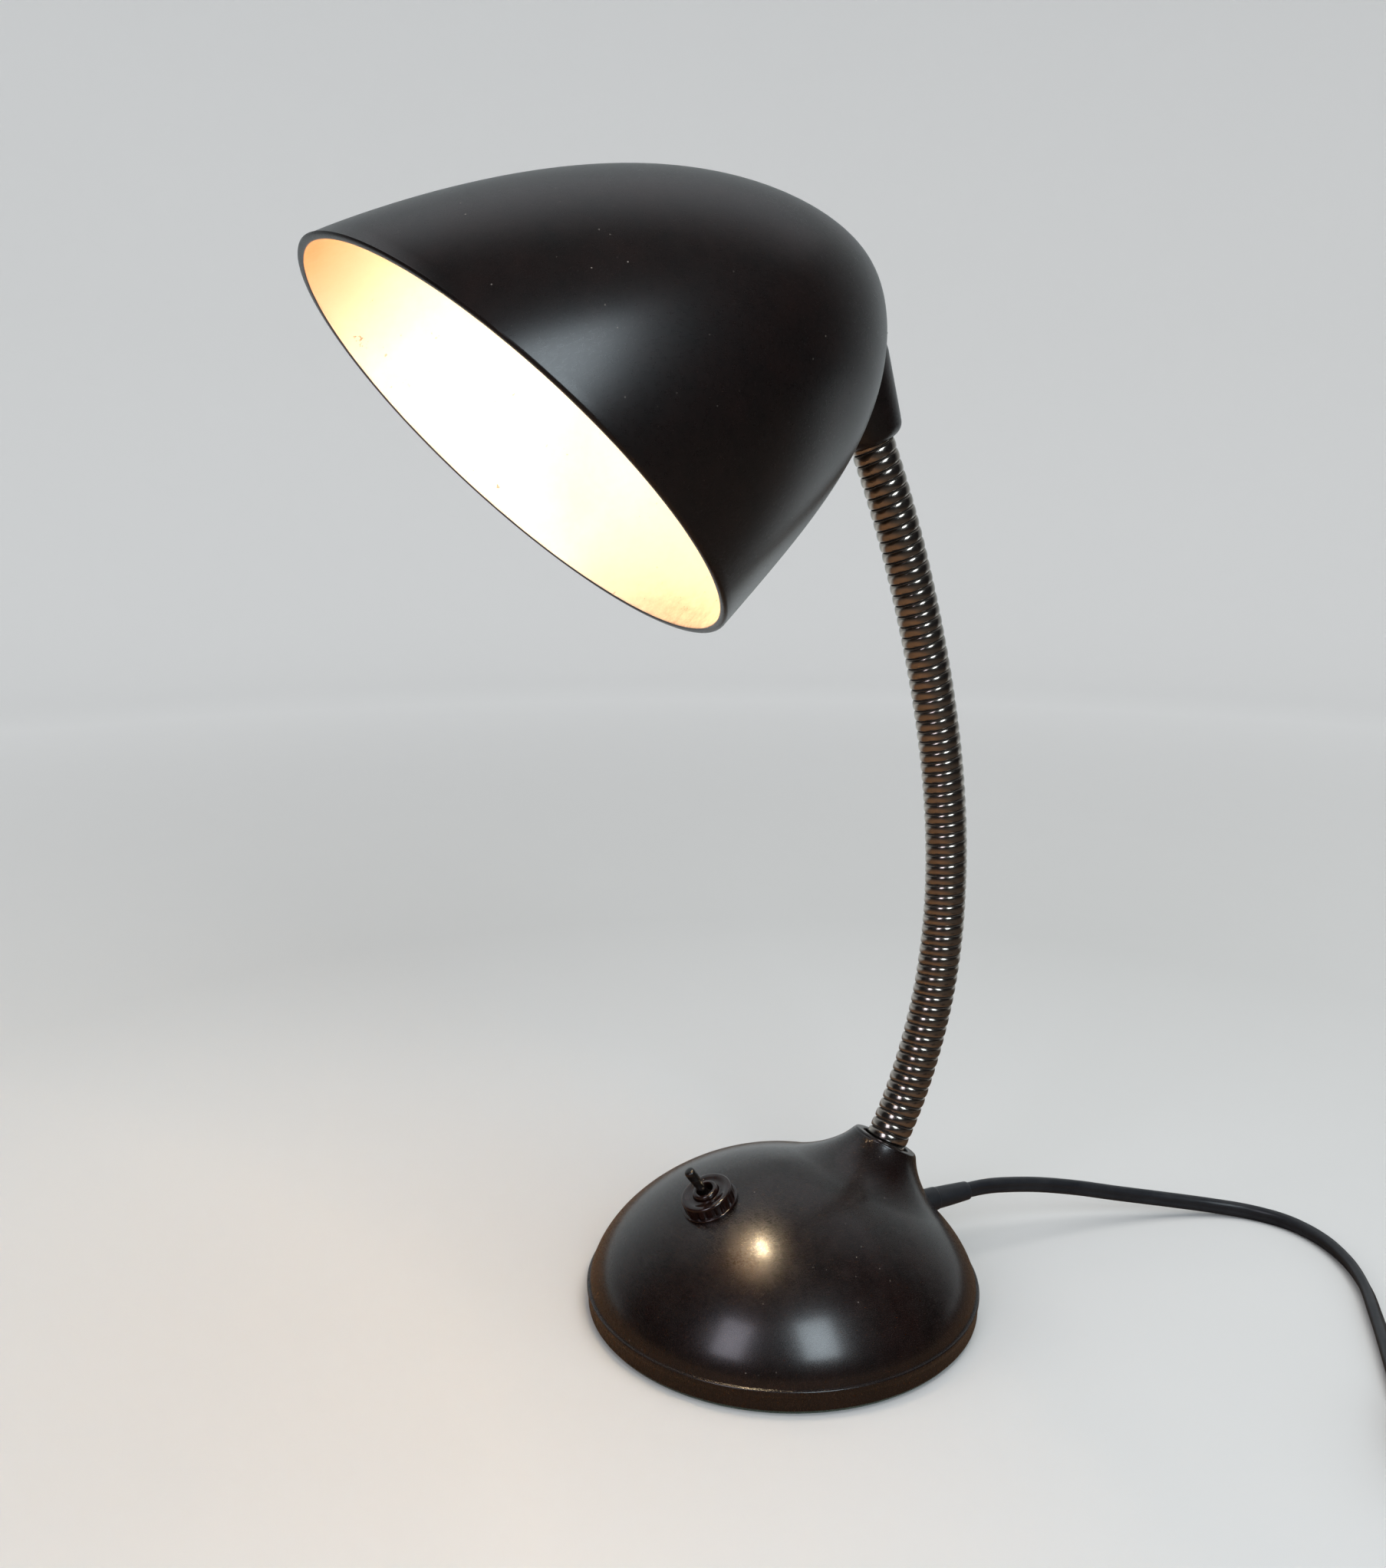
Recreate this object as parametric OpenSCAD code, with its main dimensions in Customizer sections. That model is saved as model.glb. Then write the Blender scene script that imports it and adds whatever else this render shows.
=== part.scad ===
// Gooseneck desk lamp: moulded helmet shade, ribbed steel neck, domed base with a toggle switch.
// Millimetres. Origin: centre of the base's underside, on the table. +Z up, the shade leans to -Y.

/* [Base] */
// Outer diameter of the base at its lip
base_d = 150; // [144:1:158]
// Height of the lip's top edge above the table
lip_h = 9.5; // [8:0.5:11]
// Height of the dome above the lip's seam
dome_h = 48.3; // [46:0.1:52]
// Wall of the moulded base
base_wall = 3; // [2.4:0.1:4]
// Thickness of the felt pad
felt_t = 1.5; // [1:0.1:3]
// Thickness of the steel bottom plate
plate_t = 1.5; // [1:0.1:3]
// Height of the cast ballast ring
ballast_h = 11; // [7:0.5:11]
// Hole in the middle of the ballast
ballast_hole_d = 30; // [24:1:60]

/* [Spout] */
// Distance of the spout's mouth inside the rim of the base
spout_from_rim = 28.9; // [27:0.1:31]
// How far the spout's mouth stands above the dome
spout_rise = 13.7; // [12:0.1:16]
// Lean of the spout to the rear, from upright
spout_lean = 29; // [24:1:34]
// Outer diameter of the spout at its mouth
spout_d = 26; // [24:0.5:30]
// Bore of the spout's mouth
spout_bore_d = 19; // [18:0.5:20]

/* [Neck] */
// Crest diameter of the ribbed hose
hose_d = 16; // [14:0.5:16.5]
// Depth of the groove between two ribs
groove_depth = 0.9; // [0.5:0.1:1.2]
// Distance from one rib to the next
rib_pitch = 3.6; // [3:0.1:4.5]
// Width of one rib
rib_w = 2.65; // [2:0.05:2.8]
// Length of one stretch of hose between two bends
stretch_l = 25.2; // [22:0.1:30]
// Clear length of hose at the spout and at the shade
hose_end_l = 12; // [10:0.5:16]
// Radius of the ball that one stretch turns on
ball_r = 5.6; // [5:0.1:5.8]
// Running gap between ball and socket
ball_gap = 0.3; // [0.2:0.05:0.4]
// Half of the gap between two stretches
bend_gap = 1.1; // [1:0.05:1.8]
// Bore of the hose for its two wires
hose_bore_d = 7; // [5:0.5:8]
// Depth that the hose goes into the spout and the shade
hose_in = 10; // [6:0.5:12]

/* [Shade] */
// Outer diameter of the shade's round opening
shade_d = 171.4; // [166:0.1:177]
// Depth of the shade from its opening to its crown
shade_depth = 123.3; // [121:0.1:128]
// How far the crown lies behind the middle of the opening
crown_back = 45.2; // [40:0.1:50]
// Wall of the moulded shade
shade_wall = 2.8; // [2.2:0.1:3.5]
// Tilt of the opening below level, towards the rear
shade_tilt = 44; // [38:1:50]
// Where the neck enters, behind the middle of the opening
neck_entry_y = 92; // [90:0.5:95]
// Where the neck enters, above the opening
neck_entry_z = 95; // [92:0.5:98]
// Radius of the neck socket just behind its mouth
socket_r = 13.3; // [12.8:0.1:14.5]
// Radius of the neck socket where it is widest
socket_wide_r = 17.3; // [16:0.1:18]

/* [Lamp holder and bulb] */
// Outer diameter of the lamp holder
holder_d = 40; // [38:0.5:42]
// Length of the lamp holder
holder_l = 34; // [32:0.5:36]
// Distance of the holder's back from the opening
holder_back = 104; // [102:0.5:106]
// How far the holder's axis lies behind the middle of the opening
holder_y = 32; // [28:0.5:34]
// Radius of the bulb's screw cap
cap_r = 13; // [12.9:0.1:13.2]
// Diameter of the bulb's glass
bulb_d = 45; // [40:1:48]
// Whole length of the bulb
bulb_l = 70; // [68:1:73]

/* [Switch] */
// Distance of the switch from the middle of the base
switch_r = 33; // [30:0.5:36]
// Direction of the switch, turned from the front
switch_turn = 7; // [0:1:12]
// Diameter of the ring nut
ring_nut_d = 20.7; // [19:0.1:22]
// Diameter of the threaded bush
bush_d = 9.6; // [9:0.1:11]
// Length of the dolly outside its pivot
dolly_l = 14.5; // [12:0.5:17]
// Lean of the dolly at rest, to the front
dolly_lean = 10; // [0:1:16]

/* [Cord] */
// Diameter of the cord
cord_d = 6.6; // [6:0.1:6.8]
// Height at which the cord leaves the base
exit_z = 25; // [23:0.5:27]
// Length of the tapered strain relief outside the base
relief_l = 20; // [20:1:24]
// Turns in each layer of the coil
coil_turns = 2.75; // [2.5:0.05:3]
// Radius of the innermost turn of the coil
coil_in_r = 27.5; // [27:0.1:29]
// Distance from one turn of the coil to the next
coil_pitch = 7.1; // [7:0.1:7.6]

/* [Hidden] */
$fn = 48;

bakelite = "#2c1b17";
steel = "#8f877c";
brass = "#b08d4a";
black_pvc = "#17181a";

// Running clearance between rigid pieces that only lie near each other
clearance = 0.2;
// Turn of the neck at each of its bends, from the spout up
bends = [9, 6, 7, 6, 5, 4.5, 3.5, 3, 2.5, 3, 3.5];
bend_count = len(bends);

// ---- Base: the dome's outline is a superellipse ----
dome_r = base_d / 2 - 1;
seam_z = lip_h - 1;
dome_power = 1.65;
dome_steps = 22;
function dome_height(r, rim, top, seam) =
    seam + top * pow(max(0, 1 - pow(r / rim, dome_power)), 1 / dome_power);
function dome_outline(rim, top, seam) = [for (i = [0:dome_steps])
    let (r = rim * sin(90 * i / dome_steps)) [r, dome_height(r, rim, top, seam)]];
function outer_z(r) = dome_height(r, dome_r, dome_h, seam_z);
function outer_slope(r) = atan(outer_z(r - 0.5) - outer_z(r + 0.5));
// Radius of the dome at a height
function dome_radius(z, rim, top, seam) =
    rim * pow(1 - pow((z - seam) / top, dome_power), 1 / dome_power);
spout_y = base_d / 2 - spout_from_rim;
spout_z = outer_z(spout_y) + spout_rise;

plate_z = felt_t;
ballast_z = plate_z + plate_t;
plate_r = base_d / 2 - 5;
pillar_r = 5;
pillar_at = base_d / 2 - 11.5;
pillar_turns = [30, 150, 270];
screw_r = 1.6;
ballast_r = pillar_at - pillar_r - 1.5;
ballast_step = 2;

// Frame at the spout's mouth, +Z out along its axis
module at_spout() {
    translate([0, spout_y, spout_z]) rotate([-spout_lean, 0, 0]) children();
}

spout_bore_depth = hose_in + 3;
foot_nut_z = -spout_bore_depth - 4;

module spout_outside() {
    // slightly tapered collar that flares into the dome
    top = spout_d / 2;
    flare_z = -9;
    flare_r = 15;
    flare_out = 17;
    flare_steps = 8;
    rotate_extrude()
        polygon(concat(
            [[0, 0], [top - 0.6, 0], [top, -0.6], [flare_r - 1, flare_z]],
            [for (i = [1:flare_steps]) let (a = 90 * i / flare_steps)
                [flare_r - 1 + flare_out * (1 - cos(a)), flare_z - flare_out * sin(a) * 0.9]],
            [[0, flare_z - flare_out * 0.9]]));
}

module at_switch() {
    rotate([0, 0, switch_turn])
        translate([0, -switch_r, outer_z(switch_r)])
            rotate([outer_slope(switch_r), 0, 0]) children();
}

seat_z = -0.8;
seat_t = 4.2;
pad_r = 12;

module base_shell() {
    lip_r = base_d / 2;
    color(bakelite) difference() {
        union() {
            difference() {
                union() {
                    rotate_extrude($fn = 96)
                        polygon(concat([[0, felt_t], [lip_r - 1.6, felt_t], [lip_r - 0.5, felt_t + 0.6],
                                        [lip_r - 0.5, lip_h - 2.6], [lip_r, lip_h - 2],
                                        [lip_r, lip_h - 0.9], [lip_r - 0.5, lip_h - 0.2],
                                        [dome_r - 0.2, lip_h]],
                                       [for (i = [dome_steps - 1:-1:0])
                                           dome_outline(dome_r, dome_h, seam_z)[i]]));
                    intersection() {
                        at_spout() spout_outside();
                        translate([-60, 0, seam_z + 6]) cube([120, base_d / 2 - 3, 80]);
                    }
                }
                rotate_extrude($fn = 96)
                    polygon(concat([[0, 0], [plate_r + clearance, 0],
                                    [plate_r + clearance, plate_z + plate_t],
                                    [dome_r - base_wall - 2, plate_z + plate_t]],
                                   [for (i = [dome_steps - 1:-1:0])
                                       dome_outline(dome_r - base_wall, dome_h - base_wall, seam_z)[i]]));
            }
            // web that carries the hose's foot, and its blend to the wall
            at_spout() translate([0, 0, foot_nut_z]) cylinder(r = 11, h = 4);
            // flat pad behind the switch
            at_switch() translate([0, 0, seat_z - seat_t]) cylinder(r = pad_r, h = seat_t);
            for (a = pillar_turns) rotate([0, 0, a]) translate([pillar_at, 0, ballast_z])
                intersection() {
                    cylinder(r = pillar_r, h = 18);
                    translate([-pillar_at, 0, -ballast_z]) rotate_extrude()
                        polygon(concat([[0, 0], [dome_r - 1, 0]],
                            [for (i = [dome_steps:-1:0])
                                dome_outline(dome_r - 1, dome_h - 1, seam_z)[i]]));
                }
        }
        at_spout() translate([0, 0, -spout_bore_depth]) cylinder(r = spout_bore_d / 2, h = 20);
        at_spout() translate([0, 0, -40]) cylinder(r = ferrule_stub_r + clearance, h = 41);
        at_switch() translate([0, 0, seat_z]) cylinder(r = ring_nut_d / 2 + 0.3, h = 10);
        at_switch() translate([0, 0, -20]) cylinder(r = bush_d / 2 + clearance, h = 30);
        translate([0, relief_from, exit_z]) rotate([-90, 0, 0])
            cylinder(r = relief_r + clearance, h = 30);
        for (a = pillar_turns) rotate([0, 0, a]) translate([pillar_at, 0, ballast_z - 1])
            cylinder(r = screw_r + 0.05, h = 9);
    }
}

module bottom_plate() {
    color("#6d6f70") translate([0, 0, plate_z]) difference() {
        cylinder(r = plate_r, h = plate_t, $fn = 96);
        for (a = pillar_turns) rotate([0, 0, a]) translate([pillar_at, 0, -1])
            cylinder(r = screw_r + clearance, h = plate_t + 2);
    }
}

module felt_pad() {
    color("#39463a") difference() {
        cylinder(r = base_d / 2 - 2, h = felt_t, $fn = 96);
        for (a = pillar_turns) rotate([0, 0, a]) translate([pillar_at, 0, -1])
            cylinder(r = screw_head_r + 0.6, h = felt_t + 2);
    }
}

screw_head_r = 3;
screw_head_t = 1.2;

module plate_screws() {
    color(steel) for (a = pillar_turns) rotate([0, 0, a]) translate([pillar_at, 0, plate_z])
        difference() {
            union() {
                translate([0, 0, -screw_head_t]) cylinder(r = screw_head_r, h = screw_head_t);
                cylinder(r = screw_r, h = plate_t + 7);
            }
            translate([-screw_head_r - 1, -0.4, -screw_head_t - 1])
                cube([2 * screw_head_r + 2, 0.8, 1.5]);
        }
}

module ballast() {
    color("#3b3b3d") translate([0, 0, ballast_z]) difference() {
        union() {
            cylinder(r = ballast_r, h = ballast_h - ballast_step, $fn = 96);
            cylinder(r = ballast_r - 2 * ballast_step, h = ballast_h, $fn = 96);
        }
        translate([0, 0, -1]) cylinder(d = ballast_hole_d, h = ballast_h + 2);
    }
}

// ---- Neck: straight stretches of ribbed hose on ball joints ----
ferrule_stub_r = 5;
ferrule_flange_t = 3;

function total(v, n) = n == 0 ? 0 : v[n - 1] + total(v, n - 1);
// Lean of stretch i towards the rear: 0 is the foot, bend_count is the tip
function lean(i) = spout_lean - total(bends, i);
function along(a, l) = [0, l * sin(a), l * cos(a)];
// Place of bend k, counted from 1
function bend_at(k) = k == 1 ? [0, spout_y, spout_z] + along(spout_lean, hose_end_l)
                             : bend_at(k - 1) + along(lean(k - 1), stretch_l);
neck_end = bend_at(bend_count) + along(lean(bend_count), hose_end_l);

module hose_outline(from, to) {
    // ribs centred on the stretch, with a plain land at each end
    crest = hose_d / 2;
    root = crest - groove_depth;
    ribs = floor((to - from - rib_w) / rib_pitch) + 1;
    first = (from + to - (ribs - 1) * rib_pitch - rib_w) / 2;
    edge = 0.5;
    rotate_extrude()
        polygon(concat([[0, from], [root, from]],
            [for (i = [0:ribs - 1], p = [[root, 0], [crest - 0.2, edge * 0.5], [crest, edge * 1.4],
                                         [crest, rib_w - edge * 1.4],
                                         [crest - 0.2, rib_w - edge * 0.5], [root, rib_w]])
                [p[0], first + i * rib_pitch + p[1]]],
            [[root, to], [0, to]]));
}

module hose_piece(from, to, ball_at, socket) {
    color(steel) difference() {
        union() {
            hose_outline(from, to);
            if (ball_at > 0) translate([0, 0, ball_at]) sphere(r = ball_r);
        }
        if (socket) sphere(r = ball_r + ball_gap);
        translate([0, 0, from - 1]) cylinder(d = hose_bore_d, h = to - from + ball_r + 10);
    }
}

module neck_hose(i) {
    translate(bend_at(i)) rotate([-lean(i), 0, 0])
        hose_piece(bend_gap, stretch_l - bend_gap, stretch_l, true);
}

module neck_hose_foot() {
    at_spout() hose_piece(-hose_in, hose_end_l - bend_gap, hose_end_l, false);
}

module neck_hose_tip() {
    at_neck_end() translate([0, 0, -hose_end_l])
        hose_piece(bend_gap, hose_end_l + hose_in, 0, true);
}

module ferrule() {
    // flange under the hose and a threaded stub beyond it
    difference() {
        union() {
            cylinder(r = hose_d / 2 - 0.3, h = ferrule_flange_t);
            translate([0, 0, -9]) cylinder(r = ferrule_stub_r, h = 9);
        }
        translate([0, 0, -10]) cylinder(d = hose_bore_d, h = ferrule_flange_t + 11);
    }
}

module neck_foot_ferrule() {
    color(brass) at_spout() translate([0, 0, -spout_bore_depth]) ferrule();
}

module neck_foot_nut() {
    color(brass) at_spout() translate([0, 0, foot_nut_z - 3]) difference() {
        cylinder(r = 8.5, h = 3, $fn = 6);
        translate([0, 0, -1]) cylinder(r = ferrule_stub_r + 0.05, h = 5);
    }
}

module neck_tip_ferrule() {
    color(brass) at_neck_end() translate([0, 0, hose_in]) difference() {
        cylinder(r = hose_d / 2 - 0.3, h = tip_ferrule_t);
        translate([0, 0, -1]) cylinder(d = hose_bore_d, h = tip_ferrule_t + 2);
    }
}

// ---- Shade: every section parallel to the opening is an oval ----
module at_neck_end() {
    translate(neck_end) rotate([-lean(bend_count), 0, 0]) children();
}

function tilted(y, z) = [0, y * cos(shade_tilt) + z * sin(shade_tilt),
                         -y * sin(shade_tilt) + z * cos(shade_tilt)];
shade_at = neck_end - tilted(neck_entry_y, neck_entry_z);

// Frame at the middle of the opening: +Z to the crown, +Y to the rear
module in_shade() {
    translate(shade_at) rotate([-shade_tilt, 0, 0]) children();
}

front_power = [1.05, 2.35];
rear_power = [3.95, 1.2];
side_power = [2.4, 2.5];
function falloff(t, p) = pow(max(0, 1 - pow(t, p[0])), 1 / p[1]);
// Reach of a section to the front, rear and side of the opening's axis, t from 0 to 1
function front_at(t, r) = (r + crown_back) * falloff(t, front_power) - crown_back;
function rear_at(t, r) = (r - crown_back) * falloff(t, rear_power) + crown_back;
function side_at(t, r) = r * falloff(t, side_power);

shell_sides = 44;
shell_rings = 17;
function helmet_ring(t, r, depth, z0) = [for (j = [0:shell_sides - 1])
    let (a = 360 * j / shell_sides, f = front_at(t, r), b = rear_at(t, r))
        [side_at(t, r) * sin(a), (b - f) / 2 + (b + f) / 2 * cos(a), z0 + depth * t]];

module helmet(r, depth, z0) {
    // closed solid: a foot ring at z0, rings up to the crown, and the crown's point
    rings = [for (i = [0:shell_rings - 1]) sin(90 * i / shell_rings)];
    points = concat([for (t = rings) each helmet_ring(t, r, depth, z0)],
                    [[0, crown_back, z0 + depth], [0, 0, z0]]);
    n = shell_sides;
    crown = n * shell_rings;
    sides = [for (i = [0:shell_rings - 2], j = [0:n - 1])
        let (a = i * n + j, b = i * n + (j + 1) % n)
            each [[a, b, a + n], [b, b + n, a + n]]];
    last = crown - n;
    cap = [for (j = [0:n - 1]) [last + j, last + (j + 1) % n, crown]];
    foot = [for (j = [0:n - 1]) [j, crown + 1, (j + 1) % n]];
    polyhedron(points = points, faces = concat(sides, cap, foot), convexity = 6);
}

socket_bore_r = hose_d / 2 + 0.3;
tip_ferrule_t = 4;
socket_depth = hose_in + tip_ferrule_t;
grub_r = 2;
grub_l = 5.5;
pillar_x = 9;
holder_pillar_r = 4;
wire_way_r = 3.6;
wire_way_l = 1.75 * socket_wide_r;
holder_screw_grip = 8;

module socket_outside() {
    round_steps = 5;
    nose_steps = 8;
    nose_from = 28;
    nose_l = 30;
    corner = 4;
    rotate_extrude()
        polygon(concat(
            [[0, 0]],
            [for (i = [0:round_steps]) let (a = 90 * i / round_steps)
                [socket_r - corner + corner * sin(a), corner - corner * cos(a)]],
            [for (i = [0:nose_steps]) let (a = 90 * i / nose_steps)
                [socket_wide_r * cos(a), nose_from + nose_l * sin(a)]]));
}

module shade() {
    color(bakelite) difference() {
        union() {
            in_shade() helmet(shade_d / 2, shade_depth, 0);
            at_neck_end() socket_outside();
        }
        // the hollow, less two moulded pillars for the lamp holder
        in_shade() difference() {
            helmet(shade_d / 2 - shade_wall, shade_depth - shade_wall, -0.5);
            for (x = [-pillar_x, pillar_x]) translate([x, holder_y, holder_back])
                cylinder(r = holder_pillar_r, h = shade_depth - holder_back);
        }
        at_neck_end() translate([0, 0, -1]) cylinder(r = socket_bore_r, h = socket_depth + 1);
        // channel for the wires, from the socket into the shade
        at_neck_end() translate([0, 0, socket_depth - 3]) rotate([52, 0, 0])
            cylinder(r = wire_way_r, h = wire_way_l);
        at_neck_end() translate([-socket_bore_r - grub_l - 3, 0, hose_in + tip_ferrule_t / 2])
            rotate([0, 90, 0]) cylinder(r = grub_r + 0.05, h = grub_l + 4);
        in_shade() for (x = [-pillar_x, pillar_x]) translate([x, holder_y, holder_back - 1])
            cylinder(r = screw_r + 0.05, h = holder_screw_grip + 3);
    }
}

module shade_grub_screw() {
    color(steel) at_neck_end()
        translate([-hose_d / 2 - grub_l + 0.2, 0, hose_in + tip_ferrule_t / 2])
            rotate([0, 90, 0]) difference() {
                cylinder(r = grub_r, h = grub_l);
                translate([-3, -0.4, -1]) cube([6, 0.8, 2]);
            }
}

// ---- Lamp holder and bulb, on an axis square to the opening ----
thread_r = cap_r + 0.3;
thread_t = 0.6;
cap_l = 24;
glass_t = 1;
holder_floor = 5;
thread_l = 21;
wire_y = 8;
wire_hole_r = 2;
contact_z = holder_back - holder_floor - 2;
bulb_tip = contact_z - bulb_l;

module on_holder() {
    in_shade() translate([0, holder_y, 0]) children();
}

module lamp_holder() {
    mouth = holder_back - holder_l;
    outer = holder_d / 2;
    color("#1f1714") on_holder() difference() {
        rotate_extrude()
            polygon([[0, mouth], [outer - 3.4, mouth], [outer - 2.2, mouth + 1.2],
                     [outer - 2.2, mouth + 18], [outer - 1, mouth + 20], [outer, mouth + 21],
                     [outer, holder_back - 1.5], [outer - 1.5, holder_back], [0, holder_back]]);
        translate([0, 0, mouth - 1])
            cylinder(r = thread_r + thread_t, h = holder_l - holder_floor + 1);
        for (x = [-pillar_x, pillar_x]) translate([x, 0, holder_back - holder_floor - 1])
            cylinder(r = screw_r + clearance, h = holder_floor + 2);
        for (y = [-wire_y, wire_y]) translate([0, y, holder_back - holder_floor - 1])
            cylinder(r = wire_hole_r, h = holder_floor + 2);
    }
}

module holder_thread() {
    color(brass) on_holder() translate([0, 0, holder_back - holder_floor - 1 - thread_l]) difference() {
        cylinder(r = thread_r + thread_t, h = thread_l);
        translate([0, 0, -1]) cylinder(r = thread_r, h = thread_l + 2);
    }
}

module holder_contact() {
    color(brass) on_holder() translate([0, 0, contact_z + 0.2]) {
        translate([-2.5, -4, 0]) cube([5, 8, 0.8]);
        translate([-2.5, -4, 0]) cube([5, 0.8, holder_back - holder_floor - contact_z - 0.2]);
    }
}

module holder_screws() {
    color(steel) on_holder() for (x = [-pillar_x, pillar_x])
        translate([x, 0, holder_back - holder_floor - screw_head_t]) {
            cylinder(r = screw_head_r - 0.4, h = screw_head_t);
            cylinder(r = screw_r, h = screw_head_t + holder_floor + holder_screw_grip);
        }
}

module bulb_cap() {
    color("#b9b6ae") on_holder() translate([0, 0, contact_z - cap_l]) {
        cylinder(r = cap_r, h = cap_l - 5);
        translate([0, 0, cap_l - 5]) cylinder(r1 = cap_r - 1, r2 = 5, h = 3);
        translate([0, 0, cap_l - 2]) cylinder(r = 4.5, h = 2);
    }
}

// Outline of the bulb: a ball with a neck down to the cap, drawn in by a wall thickness
function bulb_outline(inset) =
    let (ball = bulb_d / 2 - inset, neck = cap_r - 0.6 - inset, foot = contact_z - cap_l,
         middle = bulb_tip + bulb_d / 2, meet = asin(neck * 1.18 / ball), steps = 14,
         join = max(foot - 4, middle + ball * cos(meet) + 1))
        concat([for (i = [0:steps]) let (a = (180 - meet) * i / steps)
                   [ball * sin(a), middle - ball * cos(a)]],
               [[neck, join], [neck, foot + (inset > 0 ? 1 : 0)], [0, foot + (inset > 0 ? 1 : 0)]]);

module bulb_glass() {
    color("#fff3d6") on_holder() difference() {
        rotate_extrude() polygon(bulb_outline(0));
        rotate_extrude() polygon(bulb_outline(glass_t));
    }
}

// ---- Switch, square to the dome ----
pivot_z = 2.5;
dolly_r = 1.8;
dolly_ball_r = 2.9;
bush_top = 5.6;
body_top = seat_z - seat_t;

module switch_body() {
    color("#241a17") at_switch() difference() {
        union() {
            translate([-8, -11, body_top - 17]) cube([16, 22, 14]);
            translate([0, 0, body_top - 3]) cylinder(r = 8, h = 3);
        }
        translate([0, 0, body_top - 6]) cylinder(r = bush_d / 2 + 0.05, h = 8);
    }
}

module switch_bush() {
    inner = dolly_ball_r + 0.3;
    color("#5a2f22") at_switch() difference() {
        union() {
            translate([0, 0, body_top - 5.5]) cylinder(r = bush_d / 2, h = bush_top - body_top + 4.5);
            translate([0, 0, bush_top - 1.01])
                cylinder(r1 = bush_d / 2, r2 = bush_d / 2 - 0.8, h = 1.01);
        }
        translate([0, 0, -2.6]) cylinder(r = inner, h = 20);
    }
}

module switch_ring_nut() {
    r = ring_nut_d / 2;
    grooves = 36;
    color("#5a2f22") at_switch() difference() {
        rotate_extrude()
            polygon([[bush_d / 2 + 0.1, seat_z], [r - 0.6, seat_z], [r, seat_z + 0.6],
                     [r, seat_z + 2.9], [r - 0.5, seat_z + 3.5], [r - 1.6, seat_z + 3.8],
                     [r - 2, seat_z + 4.6], [r - 2.8, seat_z + 5], [r - 4.4, seat_z + 4.6],
                     [r - 5.2, seat_z + 5], [bush_d / 2 + 0.1, seat_z + 5]]);
        for (i = [0:grooves - 1]) rotate([0, 0, 360 * i / grooves])
            translate([r + 0.25, 0, seat_z + 0.9]) cylinder(r = 0.45, h = 1.8, $fn = 8);
    }
}

module switch_dolly() {
    color("#1c1412") at_switch() translate([0, 0, pivot_z]) rotate([dolly_lean, 0, 0]) {
        sphere(r = dolly_ball_r);
        rotate_extrude()
            polygon([[0, 0], [dolly_r - 0.3, 0], [dolly_r - 0.2, 4], [dolly_r, dolly_l - 1.5],
                     [dolly_r - 0.3, dolly_l - 0.5], [dolly_r - 1, dolly_l], [0, dolly_l]]);
        translate([0, 0, -4.2]) cylinder(r = 1.1, h = 4.2);
    }
}

module switch_terminals() {
    color(brass) at_switch() for (y = [-7, 7]) translate([0, y, body_top - 17 - 4]) {
        translate([-3, -1, 0]) cube([6, 2, 4]);
        translate([0, 0, 1.6]) rotate([90, 0, 0]) translate([0, 0, -2.6]) cylinder(r = 1.3, h = 5.2);
    }
}

// ---- Mains side inside the base ----
block_at = [-12, 17];
block_size = [20, 14, 12];
block_z = ballast_z + ballast_h;
lead_r = 2.5;
// the lead lies just above the ballast
lead_z = block_z + lead_r + clearance;
block_hole_r = 1.7;
block_holes = [-5, 5];

module terminal_block() {
    color("#d9d2c2") translate([block_at[0], block_at[1], block_z]) difference() {
        translate([-block_size[0] / 2, -block_size[1] / 2, 0]) cube(block_size);
        for (x = block_holes) translate([x, -block_size[1] / 2 - 1, 4])
            rotate([-90, 0, 0]) cylinder(r = block_hole_r, h = block_size[1] + 2);
        for (x = block_holes) translate([x, 0, 7.6]) cylinder(r = block_hole_r, h = 6);
    }
}

module terminal_screws() {
    color(steel) for (x = block_holes) translate([block_at[0] + x, block_at[1], block_z + 7.8])
        difference() {
            cylinder(r = block_hole_r - 0.1, h = 3.4);
            translate([-2, -0.3, 2.6]) cube([4, 0.6, 2]);
        }
}

relief_r = 4.6;
relief_collar_r = relief_r + 1.4;
relief_collar_t = 2;
dome_exit_y = dome_radius(exit_z, dome_r, dome_h, seam_z);
// the collar's front face lies just inside the wall
relief_collar_y = dome_radius(exit_z + relief_collar_r, dome_r - base_wall, dome_h - base_wall, seam_z)
    - clearance;
relief_from = relief_collar_y - relief_collar_t;
relief_end = dome_exit_y + relief_l;

module cord_relief() {
    // moulded round the cord: collar inside the wall, tapered sleeve outside
    color(black_pvc) translate([0, relief_from, exit_z]) rotate([-90, 0, 0]) rotate_extrude()
        polygon([[0, 0], [relief_collar_r, 0], [relief_collar_r, relief_collar_t],
                 [relief_r, relief_collar_t],
                 [relief_r, dome_exit_y - relief_from + 2],
                 [cord_d / 2 + 0.45, relief_end - relief_from],
                 [0, relief_end - relief_from]]);
}

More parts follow.
